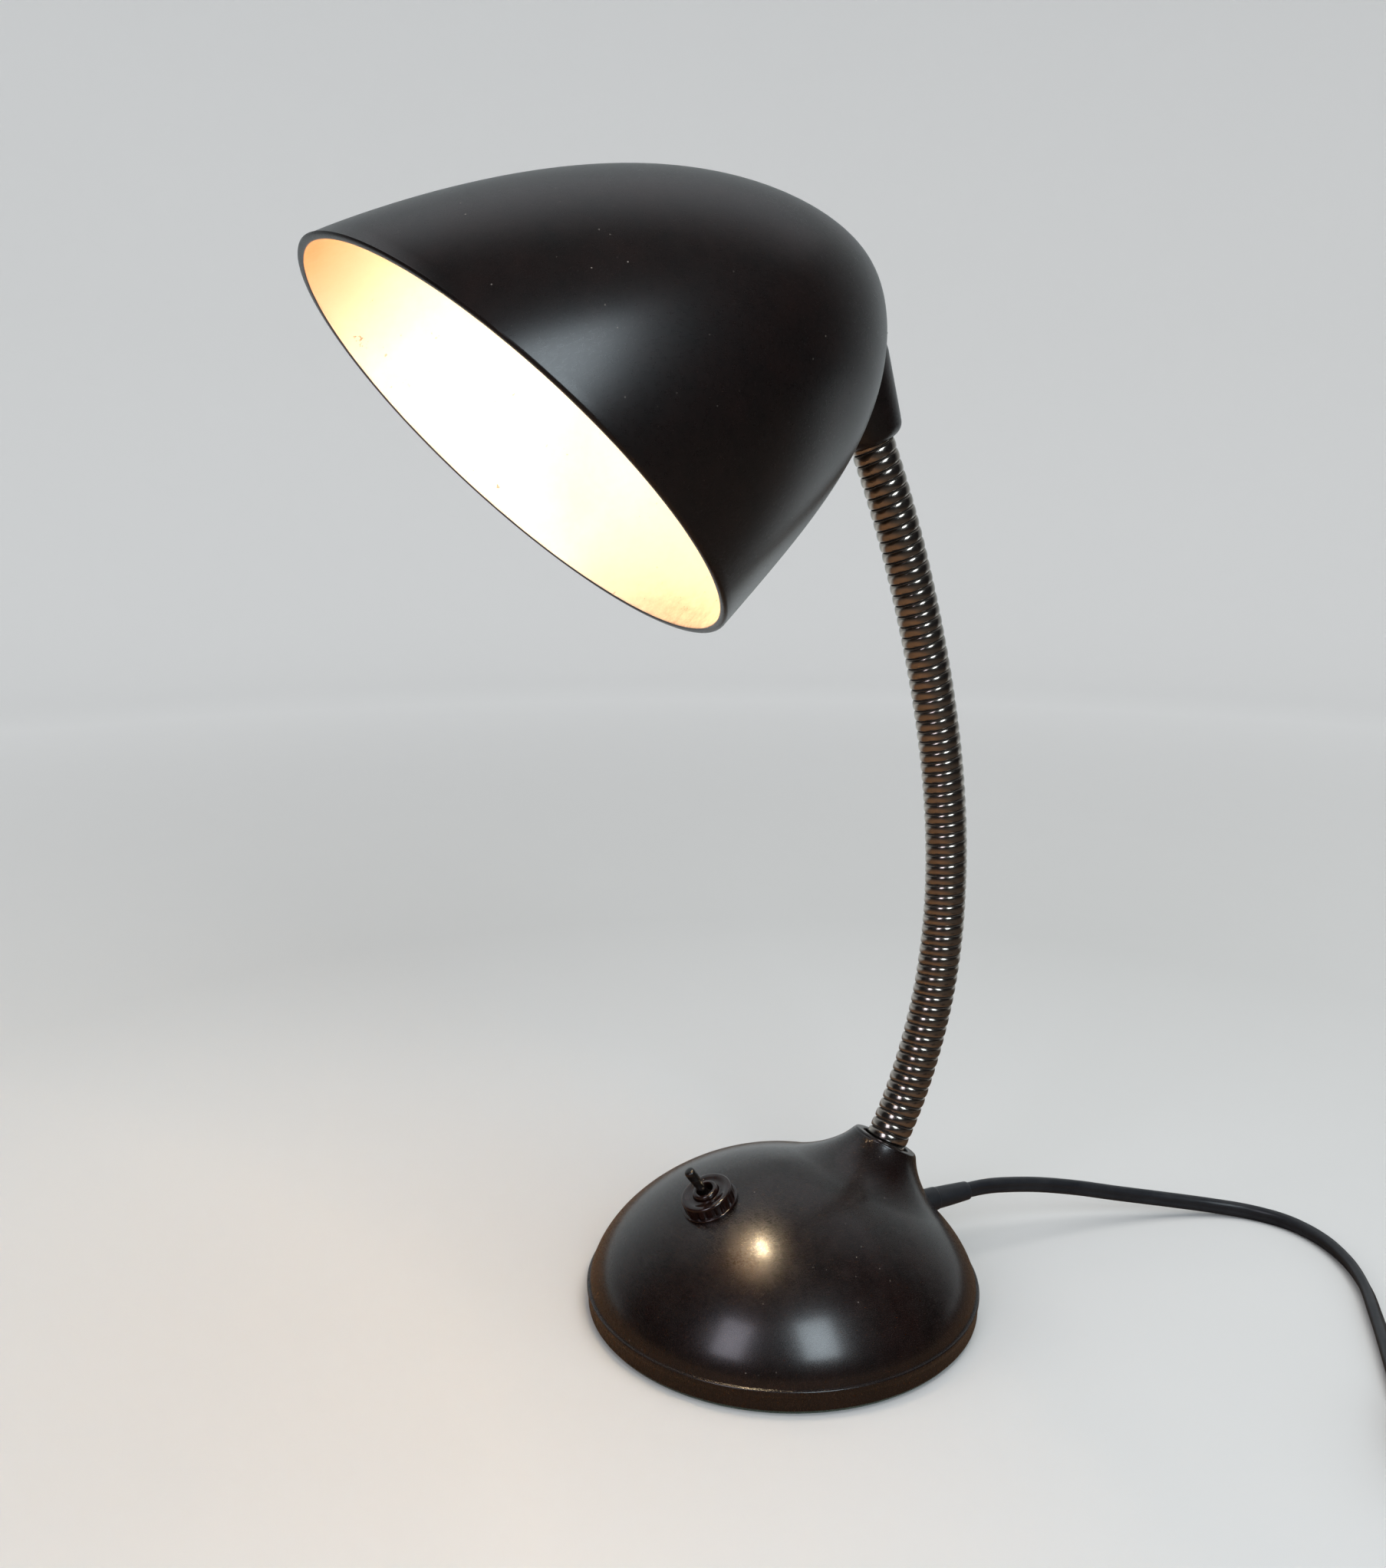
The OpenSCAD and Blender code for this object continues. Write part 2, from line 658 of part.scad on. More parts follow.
// ---- Cord: a swept tube along points chosen by hand ----
cord_z = cord_d / 2;
run_route = [[0, relief_end, exit_z], [0, 94, 24.8], [1, 104, 24], [3, 120, 21.5], [6, 138, 17.5],
             [10, 157, 12.6], [16, 178, 8], [24, 197, 4.6], [34, 210, cord_z],
             [48, 217.5, cord_z], [64, 218.5, cord_z], [81, 213.5, cord_z],
             [97, 204, cord_z], [111, 192.5, cord_z], [126, 179.5, cord_z],
             [145, 162.5, cord_z]];
coil_enter = [166, 144, cord_z];
coil_heading = -42;
inner_route = [[0, relief_from, exit_z], [-0.5, 48.5, 24.3], [-2.5, 43, 21.5], [-5, 38, 18.5],
               [-7.5, 33.5, lead_z], [-10, 29, lead_z],
               [block_at[0], block_at[1] + block_size[1] / 2 + clearance, lead_z]];

function unit(v) = v / norm(v);
function tangent(p, i) = unit(p[min(i + 1, len(p) - 1)] - p[max(i - 1, 0)]);
function ring_of(c, t, r, n, turn) =
    let (s = unit(cross(t, [0, 0, 1])), u = cross(s, t))
        [for (k = [0:n - 1]) c + r * (s * cos(360 * k / n + turn) + u * sin(360 * k / n + turn))];
// Smooth curve through the points: each span is cut in steps
function spline_at(p, i, t) =
    let (a = p[max(i - 1, 0)], b = p[i], c = p[i + 1], d = p[min(i + 2, len(p) - 1)])
        0.5 * (2 * b + (c - a) * t + (2 * a - 5 * b + 4 * c - d) * t * t
               + (3 * b - a - 3 * c + d) * t * t * t);
function smooth_route(p, steps) = concat(
    [for (i = [0:len(p) - 2], s = [0:steps - 1]) spline_at(p, i, s / steps)], [p[len(p) - 1]]);

module tube(path, r, n, turn, first, last) {
    // first and last are the directions that the two ends face along
    m = len(path);
    rings = [for (i = [0:m - 1])
        let (t = i == 0 ? first : i == m - 1 ? last : tangent(path, i))
            each ring_of(path[i], t, r, n, turn)];
    sides = [for (i = [0:m - 2], k = [0:n - 1])
        let (a = i * n + k, b = i * n + (k + 1) % n)
            each [[a, b, a + n], [b, b + n, a + n]]];
    caps = concat([for (k = [1:n - 2]) [0, k + 1, k]],
                  [for (k = [1:n - 2]) [(m - 1) * n, (m - 1) * n + k, (m - 1) * n + k + 1]]);
    polyhedron(points = rings, faces = concat(sides, caps), convexity = 10);
}

module cord_inner() {
    color(black_pvc) tube(smooth_route(inner_route, 3), lead_r, 8, 22.5, [0, -1, 0], [0, -1, 0]);
}

run_path = smooth_route(concat(run_route, [coil_enter]), 3);

module cord_run() {
    color(black_pvc) tube(run_path, cord_d / 2, 8, 22.5, [0, 1, 0],
        [cos(coil_heading), sin(coil_heading), 0]);
}

// The coil winds anticlockwise: inwards on the table, up in half a turn, outwards on top
coil_out_r = coil_in_r + coil_pitch * coil_turns;
coil_start = coil_heading - 90;
coil_begin_dir = [cos(coil_heading), sin(coil_heading), 0];
// its first and last stretches run straight for one diameter of the cord
coil_mid = [coil_enter[0], coil_enter[1], 0] + cord_d * coil_begin_dir
    + coil_out_r * [cos(coil_heading + 90), sin(coil_heading + 90), 0];
loop_rings = 24;
coil_loops = 2 * coil_turns + 0.5;
climb_dip = 1.3;
function coil_r(w) = w < coil_turns ? coil_out_r - coil_pitch * w
    : w < coil_turns + 0.5 ? coil_in_r - climb_dip * sin(360 * (w - coil_turns))
    : coil_in_r + coil_pitch * (w - coil_turns - 0.5);
function climb(s) = s <= 0 ? 0 : s >= 1 ? 1 : (1 - cos(180 * s)) / 2;
function coil_z(w) = cord_z + coil_pitch * climb((w - coil_turns) / 0.5);
function coil_point(w) = coil_mid + [coil_r(w) * cos(coil_start + 360 * w),
                                     coil_r(w) * sin(coil_start + 360 * w), coil_z(w)];
coil_steps = round(coil_loops * loop_rings);
coil_end_a = coil_start + 360 * coil_loops;
coil_end_dir = [-sin(coil_end_a), cos(coil_end_a), 0];
coil_wound = [for (i = [0:coil_steps]) coil_point(coil_loops * i / coil_steps)];
coil_out = coil_wound[coil_steps] + cord_d * coil_end_dir;
coil_path = concat([coil_enter], coil_wound, [coil_out]);

// Least distance between turns of the coil that lie beside or on each other, less the cord
coil_gap = min([for (i = [0:coil_steps], j = [i + 12:1:coil_steps])
    norm(coil_wound[i] - coil_wound[j])]) - cord_d;
echo(coil_least_gap_mm = coil_gap);

module cord_coil() {
    color(black_pvc) tube(coil_path, cord_d / 2, 6, 30, coil_begin_dir, coil_end_dir);
}

// The tail leaves the coil in a wider arc, comes down to the table and rises into the plug
tail_arc_r = 2 * coil_out_r;
tail_l = 110;
tail_steps = 22;
tail_fall_from = 18;
tail_fall_to = 66;
plug_t = 13.6;
function tail_point(l) =
    let (a = l / tail_arc_r * 180 / PI, inward = [-coil_end_dir[1], coil_end_dir[0], 0])
        coil_out + tail_arc_r * (sin(a) * coil_end_dir + (1 - cos(a)) * inward)
            - [0, 0, coil_pitch * climb((l - tail_fall_from) / (tail_fall_to - tail_fall_from))]
            + [0, 0, (plug_t / 2 - cord_z) * climb((l - tail_fall_to) / (tail_l - tail_fall_to))];
tail_turn = tail_l / tail_arc_r * 180 / PI;
tail_dir = [-sin(coil_end_a + tail_turn), cos(coil_end_a + tail_turn), 0];
tail_path = [for (i = [0:tail_steps]) tail_point(tail_l * i / tail_steps)];
tail_end = tail_path[tail_steps];

module cord_tail() {
    color(black_pvc) tube(tail_path, cord_d / 2, 8, 22.5, coil_end_dir, tail_dir);
}

clamp_at = [-8.7, 31.3];
clamp_turn = 29;
clamp_w = 5;
clamp_t = 1.2;

module cord_clamp() {
    // saddle over the lead, with a screw hole in each foot
    inner = lead_r + 0.35;
    foot = 2 * (inner + clamp_t + 4);
    color(steel) translate([clamp_at[0], clamp_at[1], block_z]) rotate([0, 0, -clamp_turn])
        difference() {
            union() {
                translate([-foot / 2, -clamp_w / 2, 0]) cube([foot, clamp_w, clamp_t]);
                translate([0, clamp_w / 2, lead_z - block_z]) rotate([90, 0, 0])
                    cylinder(r = inner + clamp_t, h = clamp_w);
            }
            translate([0, clamp_w / 2 + 1, lead_z - block_z]) rotate([90, 0, 0])
                cylinder(r = inner, h = clamp_w + 2);
            translate([-inner, -clamp_w / 2 - 1, -5]) cube([2 * inner, clamp_w + 2, 5 + lead_z - block_z]);
            translate([-foot, -foot, -10]) cube([2 * foot, 2 * foot, 10]);
            for (x = [-foot / 2 + 2, foot / 2 - 2]) translate([x, 0, -1]) cylinder(r = 1, h = 4);
        }
}

// ---- Flat two-pin mains plug, lying beside the coil ----
plug_l = 36;
plug_w = 33;
pin_r = 2;
pin_l = 19;
pin_apart = 19;
plug_relief_l = 14;

module at_plug() {
    translate(tail_end) rotate([0, 0, coil_end_a + tail_turn + 90]) children();
}

module plug_body() {
    half = plug_w / 2;
    color(black_pvc) at_plug() {
        rotate([0, 90, 0]) cylinder(r1 = cord_d / 2 + 0.6, r2 = 5.4, h = plug_relief_l + 1);
        translate([plug_relief_l, 0, -plug_t / 2]) intersection() {
            linear_extrude(plug_t)
                polygon([[0, -8], [4, -9], [14, -half + 0.5], [18, -half], [plug_l - 14, -half],
                         [plug_l - 12, -half + 2], [plug_l - 12, half - 2], [plug_l - 14, half],
                         [18, half], [14, half - 0.5], [4, 9], [0, 8]]);
            translate([0, half + 1, 0]) rotate([90, 0, 0]) linear_extrude(plug_w + 2)
                polygon([[0, 2], [2, 0.8], [6, 0], [plug_l, 0], [plug_l, plug_t], [6, plug_t],
                         [2, plug_t - 0.8], [0, plug_t - 2]]);
        }
    }
}

plug_face = plug_relief_l + plug_l - 12;

module plug_pins() {
    color(steel) at_plug() for (y = [-pin_apart / 2, pin_apart / 2]) translate([plug_face, y, 0])
        rotate([0, 90, 0]) {
            cylinder(r = pin_r, h = pin_l - 0.6);
            translate([0, 0, pin_l - 0.6]) cylinder(r1 = pin_r, r2 = pin_r - 0.6, h = 0.6);
        }
}

base_shell();
bottom_plate();
felt_pad();
ballast();
plate_screws();
neck_foot_ferrule();
neck_foot_nut();
neck_hose_foot();
neck_hose(1);  // neck_hose_1
neck_hose(2);  // neck_hose_2
neck_hose(3);  // neck_hose_3
neck_hose(4);  // neck_hose_4
neck_hose(5);  // neck_hose_5
neck_hose(6);  // neck_hose_6
neck_hose(7);  // neck_hose_7
neck_hose(8);  // neck_hose_8
neck_hose(9);  // neck_hose_9
neck_hose(10);  // neck_hose_10
neck_hose_tip();
neck_tip_ferrule();
shade();
shade_grub_screw();
lamp_holder();
holder_thread();
holder_contact();
holder_screws();
bulb_cap();
bulb_glass();
switch_body();
switch_bush();
switch_ring_nut();
switch_dolly();
switch_terminals();
terminal_block();
terminal_screws();
cord_relief();
cord_clamp();
cord_inner();
cord_run();
cord_coil();
cord_tail();
plug_body();
plug_pins();
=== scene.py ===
"""Looks of a gooseneck desk lamp: moulded helmet shade, ribbed steel neck, domed base, mains lead.

Sizes inside the classes are millimetres in the lamp's own frame, and become metres in a mesh.
"""

import logging
import math
from dataclasses import dataclass, field
from enum import Enum
from typing import Callable, Optional, Sequence

import bpy
import numpy as np
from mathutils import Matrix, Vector


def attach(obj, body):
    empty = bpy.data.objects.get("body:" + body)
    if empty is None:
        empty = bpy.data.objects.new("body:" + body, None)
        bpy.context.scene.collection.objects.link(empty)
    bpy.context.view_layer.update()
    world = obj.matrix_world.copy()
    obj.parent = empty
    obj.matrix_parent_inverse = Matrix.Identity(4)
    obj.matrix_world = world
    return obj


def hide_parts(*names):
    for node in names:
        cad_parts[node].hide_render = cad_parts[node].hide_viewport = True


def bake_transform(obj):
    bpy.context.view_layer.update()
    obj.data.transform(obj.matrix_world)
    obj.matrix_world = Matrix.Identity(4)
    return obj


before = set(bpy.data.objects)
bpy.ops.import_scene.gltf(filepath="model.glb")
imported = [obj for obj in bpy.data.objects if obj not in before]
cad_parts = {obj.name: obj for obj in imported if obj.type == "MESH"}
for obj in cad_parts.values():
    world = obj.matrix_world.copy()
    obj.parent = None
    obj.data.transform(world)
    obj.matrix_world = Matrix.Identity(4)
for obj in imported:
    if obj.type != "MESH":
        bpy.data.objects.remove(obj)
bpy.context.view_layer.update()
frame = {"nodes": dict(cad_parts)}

LOG = logging.getLogger("lamp")
MM = 0.001
Points = np.ndarray
Colour = tuple[float, float, float]
Triple = tuple[float, float, float]
FAR_WAY: Triple = (-0.903, 0.429, 0.0)


class Body(Enum):
    """CAD bodies that pieces ride on."""

    BASE = "base"
    SHADE = "shade"
    LEVER = "switch_lever"


class Slot(Enum):
    """Material slot names, passed with each modelled piece but not used."""

    BAKELITE = "bakelite"
    HOLDER = "holder_moulding"
    BULB_CAP = "bulb_cap"
    BULB_GLASS = "bulb_glass"
    RING_NUT = "ring_nut"
    DOLLY = "dolly"
    CORD = "cord_sheath"
    PLUG = "plug_rubber"
    HOSE = "hose_steel"


# ---- Shapes ----------------------------------------------------------------------------------


@dataclass(frozen=True)
class Placement:
    """A set of axes with its origin, in the lamp's frame."""

    origin: Triple
    x: Triple = (1.0, 0.0, 0.0)
    y: Triple = (0.0, 1.0, 0.0)
    z: Triple = (0.0, 0.0, 1.0)

    @staticmethod
    def leaning(origin: Sequence[float], lean: float) -> "Placement":
        """Axes turned about X so that +Z leans to the rear.

        Args:
            origin: Where the axes meet.
            lean: Lean of +Z from upright towards +Y, in degrees.

        Returns:
            The placement.
        """
        c, s = math.cos(math.radians(lean)), math.sin(math.radians(lean))
        return Placement(tuple(float(v) for v in origin), (1.0, 0.0, 0.0), (0.0, c, -s), (0.0, s, c))

    def place(self, points: Points) -> Points:
        """Moves points from these axes into the lamp's frame.

        Args:
            points: Points in these axes, in the last dimension.

        Returns:
            The same points in the lamp's frame.
        """
        return np.asarray(self.origin) + points @ np.array([self.x, self.y, self.z])

    def local(self, points: Points) -> Points:
        """Moves points from the lamp's frame into these axes.

        Args:
            points: Points in the lamp's frame, in the last dimension.

        Returns:
            The same points in these axes.
        """
        return (points - np.asarray(self.origin)) @ np.array([self.x, self.y, self.z]).T


class MeshMaker:
    """Collects rings and faces, then makes one clean mesh of them."""

    def __init__(self) -> None:
        """Starts with no points."""
        self.points: list[Points] = []
        self.faces: list[list[int]] = []
        self.kinds: list[int] = []
        self.count = 0

    def add_points(self, points: Points) -> int:
        """Adds points.

        Args:
            points: Points in millimetres, three numbers each.

        Returns:
            The number of the first one.
        """
        first = self.count
        flat = np.asarray(points, float).reshape(-1, 3)
        self.points.append(flat)
        self.count += len(flat)
        return first

    def add_face(self, corners: Sequence[int], kind: int = 0) -> None:
        """Adds one face, less corners that repeat.

        Args:
            corners: Point numbers in order.
            kind: Which of the piece's finishes it takes.
        """
        kept = [c for i, c in enumerate(corners) if c != corners[i - 1]]
        if len(set(kept)) >= 3:
            self.faces.append(kept)
            self.kinds.append(kind)

    def tube(self, rings: Points, start: bool = True, end: bool = True,
             kinds: Optional[Sequence[int]] = None) -> None:
        """Adds closed rings joined in a row.

        Args:
            rings: Array of rings by points by three, in millimetres.
            start: Whether a fan closes the first ring.
            end: Whether a fan closes the last ring.
            kinds: The finish of each band between two rings.
        """
        count, around = rings.shape[:2]
        base = self.add_points(rings)
        for i in range(count - 1):
            kind = kinds[i] if kinds is not None else 0
            a = base + i * around
            for j in range(around):
                k = (j + 1) % around
                self.add_face((a + j, a + k, a + around + k, a + around + j), kind)
        for wanted, ring, kind_at in ((start, 0, 0), (end, count - 1, -1)):
            if wanted:
                middle = self.add_points(rings[ring].mean(axis=0))
                kind = kinds[kind_at] if kinds is not None else 0
                a = base + ring * around
                for j in range(around):
                    k = (j + 1) % around
                    corners = (a + k, a + j, middle) if ring == 0 else (a + j, a + k, middle)
                    self.add_face(corners, kind)

    def build(self, name: str, sharp: float = 38.0) -> bpy.types.Object:
        """Makes the object, with normals out and edges sharper than an angle kept crisp.

        Args:
            name: The piece's name.
            sharp: Angle in degrees above which an edge is shaded as a crease.

        Returns:
            The new object, linked into the scene.
        """
        mesh = bpy.data.meshes.new(name)
        points = np.concatenate(self.points) * MM
        mesh.from_pydata(points.tolist(), [], self.faces)
        mesh.polygons.foreach_set("material_index", self.kinds)
        mesh.validate()
        mesh.shade_smooth()
        mesh.set_sharp_from_angle(angle=math.radians(sharp))
        piece = bpy.data.objects.new(name, mesh)
        bpy.context.scene.collection.objects.link(piece)
        return piece


def circle(radius: float, z: float, around: int, phase: float = 0.0) -> Points:
    """A level ring of points.

    Args:
        radius: Its radius.
        z: Its height.
        around: How many points.
        phase: Angle of the first one, in radians.

    Returns:
        Array of points by three.
    """
    a = phase + 2 * math.pi * np.arange(around) / around
    return np.stack([radius * np.cos(a), radius * np.sin(a), np.full(around, z)], axis=1)


def turned(profile: Sequence[Sequence[float]], around: int,
           ripple: Optional[Callable[[Points, float, float], Points]] = None) -> Points:
    """Rings of a turned shape about Z.

    Args:
        profile: Pairs of radius and height.
        around: Points in each ring.
        ripple: Changes a ring's radii, from the angles, the radius and the height.

    Returns:
        Array of rings by points by three.
    """
    a = 2 * math.pi * np.arange(around) / around
    rings = []
    for radius, z in profile:
        radii = ripple(a, radius, z) if ripple else np.full(around, float(radius))
        rings.append(np.stack([radii * np.cos(a), radii * np.sin(a), np.full(around, z)], axis=1))
    return np.array(rings)


def corner(r: float, z: float, radius: float, start: float, end: float, steps: int = 4) -> list:
    """A rounded corner of a profile.

    Args:
        r: Radius of the corner's middle.
        z: Height of the corner's middle.
        radius: Radius of the rounding.
        start: Angle that it starts at, in degrees from straight out.
        end: Angle that it ends at.
        steps: Spans in it.

    Returns:
        Pairs of radius and height.
    """
    return [(r + radius * math.cos(math.radians(start + (end - start) * i / steps)),
             z + radius * math.sin(math.radians(start + (end - start) * i / steps)))
            for i in range(steps + 1)]


def rode(piece: bpy.types.Object, body: Body, slot: Slot, *nodes: str) -> bpy.types.Object:
    """Attaches a finished piece to its body and hides the CAD nodes it stands for.

    Args:
        piece: The piece.
        body: The body it rides on.
        slot: A material slot; not used.
        nodes: CAD nodes that it replaces.

    Returns:
        The piece.
    """
    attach(piece, body.value)
    if nodes:
        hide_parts(*nodes)
    LOG.info("piece %s rides on %s, for %s", piece.name, body.value, ", ".join(nodes) or "itself")
    return piece


@dataclass(frozen=True)
class RoundedUnion:
    """Two bodies with a fillet where they meet, as one field that is negative inside."""

    first: Callable[[Points], Points]
    second: Callable[[Points], Points]
    fillet: float

    def value(self, points: Points) -> Points:
        """The field at some points.

        Args:
            points: Points in the field's own axes.

        Returns:
            About the distance to the skin, less than zero inside.
        """
        a, b = self.first(points), self.second(points)
        reach = np.hypot(np.maximum(self.fillet - a, 0), np.maximum(self.fillet - b, 0))
        return np.maximum(self.fillet, np.minimum(a, b)) - reach


@dataclass(frozen=True)
class SkinBetween:
    """The part of a star-shaped skin that lies between a small mouth and a wide rim."""

    field: RoundedUnion
    centre: Triple
    pole: Triple
    rows: int

    def _plane(self, directions: Points, axes: Points) -> Points:
        """Directions laid flat from the pole, by the stereographic rule."""
        flat = directions @ axes[:2].T
        return flat / (1 - directions @ axes[2])[..., None]

    def rings(self, mouth: Points, rim: Points) -> Points:
        """Finds the skin's rings.

        Args:
            mouth: The mouth's ring of points.
            rim: The rim's ring, of as many points.

        Returns:
            Rings from the mouth to the rim, both included.
        """
        centre = np.asarray(self.centre)
        pole = np.asarray(self.pole) / np.linalg.norm(self.pole)
        side = np.cross(pole, (1.0, 0.0, 0.0))
        side /= np.linalg.norm(side)
        axes = np.array([np.cross(side, pole), side, pole])
        near, far = mouth - centre, rim - centre
        a = self._plane(near / np.linalg.norm(near, axis=1)[:, None], axes)
        b = self._plane(far / np.linalg.norm(far, axis=1)[:, None], axes)
        small = np.linalg.norm(a - a.mean(axis=0), axis=1).mean()
        wide = np.linalg.norm(b - b.mean(axis=0), axis=1).mean()
        made = [mouth]
        for i in range(1, self.rows):
            share = (small * (wide / small) ** (i / self.rows) - small) / (wide - small)
            flat = (1 - share) * a + share * b
            q = (flat ** 2).sum(axis=1)[:, None]
            ray = (2 * flat @ axes[:2] + (q - 1) * axes[2]) / (q + 1)
            low, high = np.full(len(ray), 2.0), np.full(len(ray), 200.0)
            for _ in range(34):
                middle = (low + high) / 2
                inside = self.field.value(centre + ray * middle[:, None]) < 0
                low, high = np.where(inside, middle, low), np.where(inside, high, middle)
            made.append(centre + ray * low[:, None])
        return np.array(made + [rim])


def true_distance(field_of: Callable[[Points], Points], step: float = 0.05) -> Callable[[Points], Points]:
    """Makes a field's values about as large as real distances.

    Args:
        field_of: A field that is zero on its skin.
        step: Distance over which its slope is taken.

    Returns:
        The field divided by its slope.
    """
    def scaled(points: Points) -> Points:
        """The field over its slope, taken across two steps along each axis."""
        here = field_of(points)
        slope = [(field_of(points + d) - field_of(points - d)) / (2 * step)
                 for d in np.eye(3) * step]
        return here / np.maximum(np.sqrt(sum(s ** 2 for s in slope)), 1e-6)

    return scaled


# ---- Finishes --------------------------------------------------------------------------------


class Graph:
    """Short way to fill a node tree."""

    def __init__(self, tree: bpy.types.NodeTree) -> None:
        """Takes the tree to fill."""
        self.tree = tree

    def node(self, kind: str, inputs: Optional[dict] = None, **settings: object) -> bpy.types.Node:
        """Adds a node.

        Args:
            kind: Its Blender type.
            inputs: Values or sockets for its inputs, by name or number.
            settings: Its own properties.

        Returns:
            The node.
        """
        made = self.tree.nodes.new(kind)
        for key, value in settings.items():
            setattr(made, key, value)
        for key, value in (inputs or {}).items():
            if isinstance(value, bpy.types.NodeSocket):
                self.tree.links.new(value, made.inputs[key])
            else:
                made.inputs[key].default_value = value
        return made

    def mix(self, share: object, a: object, b: object, blend: str = "MIX") -> bpy.types.NodeSocket:
        """Mixes two colours.

        Args:
            share: Mask socket or number.
            a: First colour.
            b: Second colour.
            blend: How they mix.

        Returns:
            The result's socket.
        """
        made = self.tree.nodes.new("ShaderNodeMix")
        made.data_type, made.blend_type = "RGBA", blend
        for number, value in ((0, share), (6, a), (7, b)):
            if isinstance(value, bpy.types.NodeSocket):
                self.tree.links.new(value, made.inputs[number])
            else:
                made.inputs[number].default_value = value if number == 0 else (*value, 1.0)[:4]
        return made.outputs[2]

    def math(self, operation: str, a: object, b: object = 0.0) -> bpy.types.NodeSocket:
        """Adds a sum of two values.

        Args:
            operation: Blender's name of it.
            a: First value or socket.
            b: Second value or socket.

        Returns:
            The result's socket.
        """
        return self.node("ShaderNodeMath", {0: a, 1: b}, operation=operation).outputs[0]

    def span(self, value: object, low: float, high: float, to_low: float = 0.0,
             to_high: float = 1.0) -> bpy.types.NodeSocket:
        """Maps a span of values to another, and holds its ends.

        Args:
            value: The socket.
            low: Start of the span.
            high: End of the span.
            to_low: What the start becomes.
            to_high: What the end becomes.

        Returns:
            The result's socket.
        """
        return self.node("ShaderNodeMapRange", {0: value, 1: low, 2: high, 3: to_low, 4: to_high}).outputs[0]


class Effect(Enum):
    """Effects that several finishes share."""

    MOTTLE = "lamp_mottle"
    SCRATCHES = "lamp_fine_scratches"
    EDGE_WEAR = "lamp_edge_wear"
    DUST = "lamp_dust"
    GRAIN = "lamp_grain"


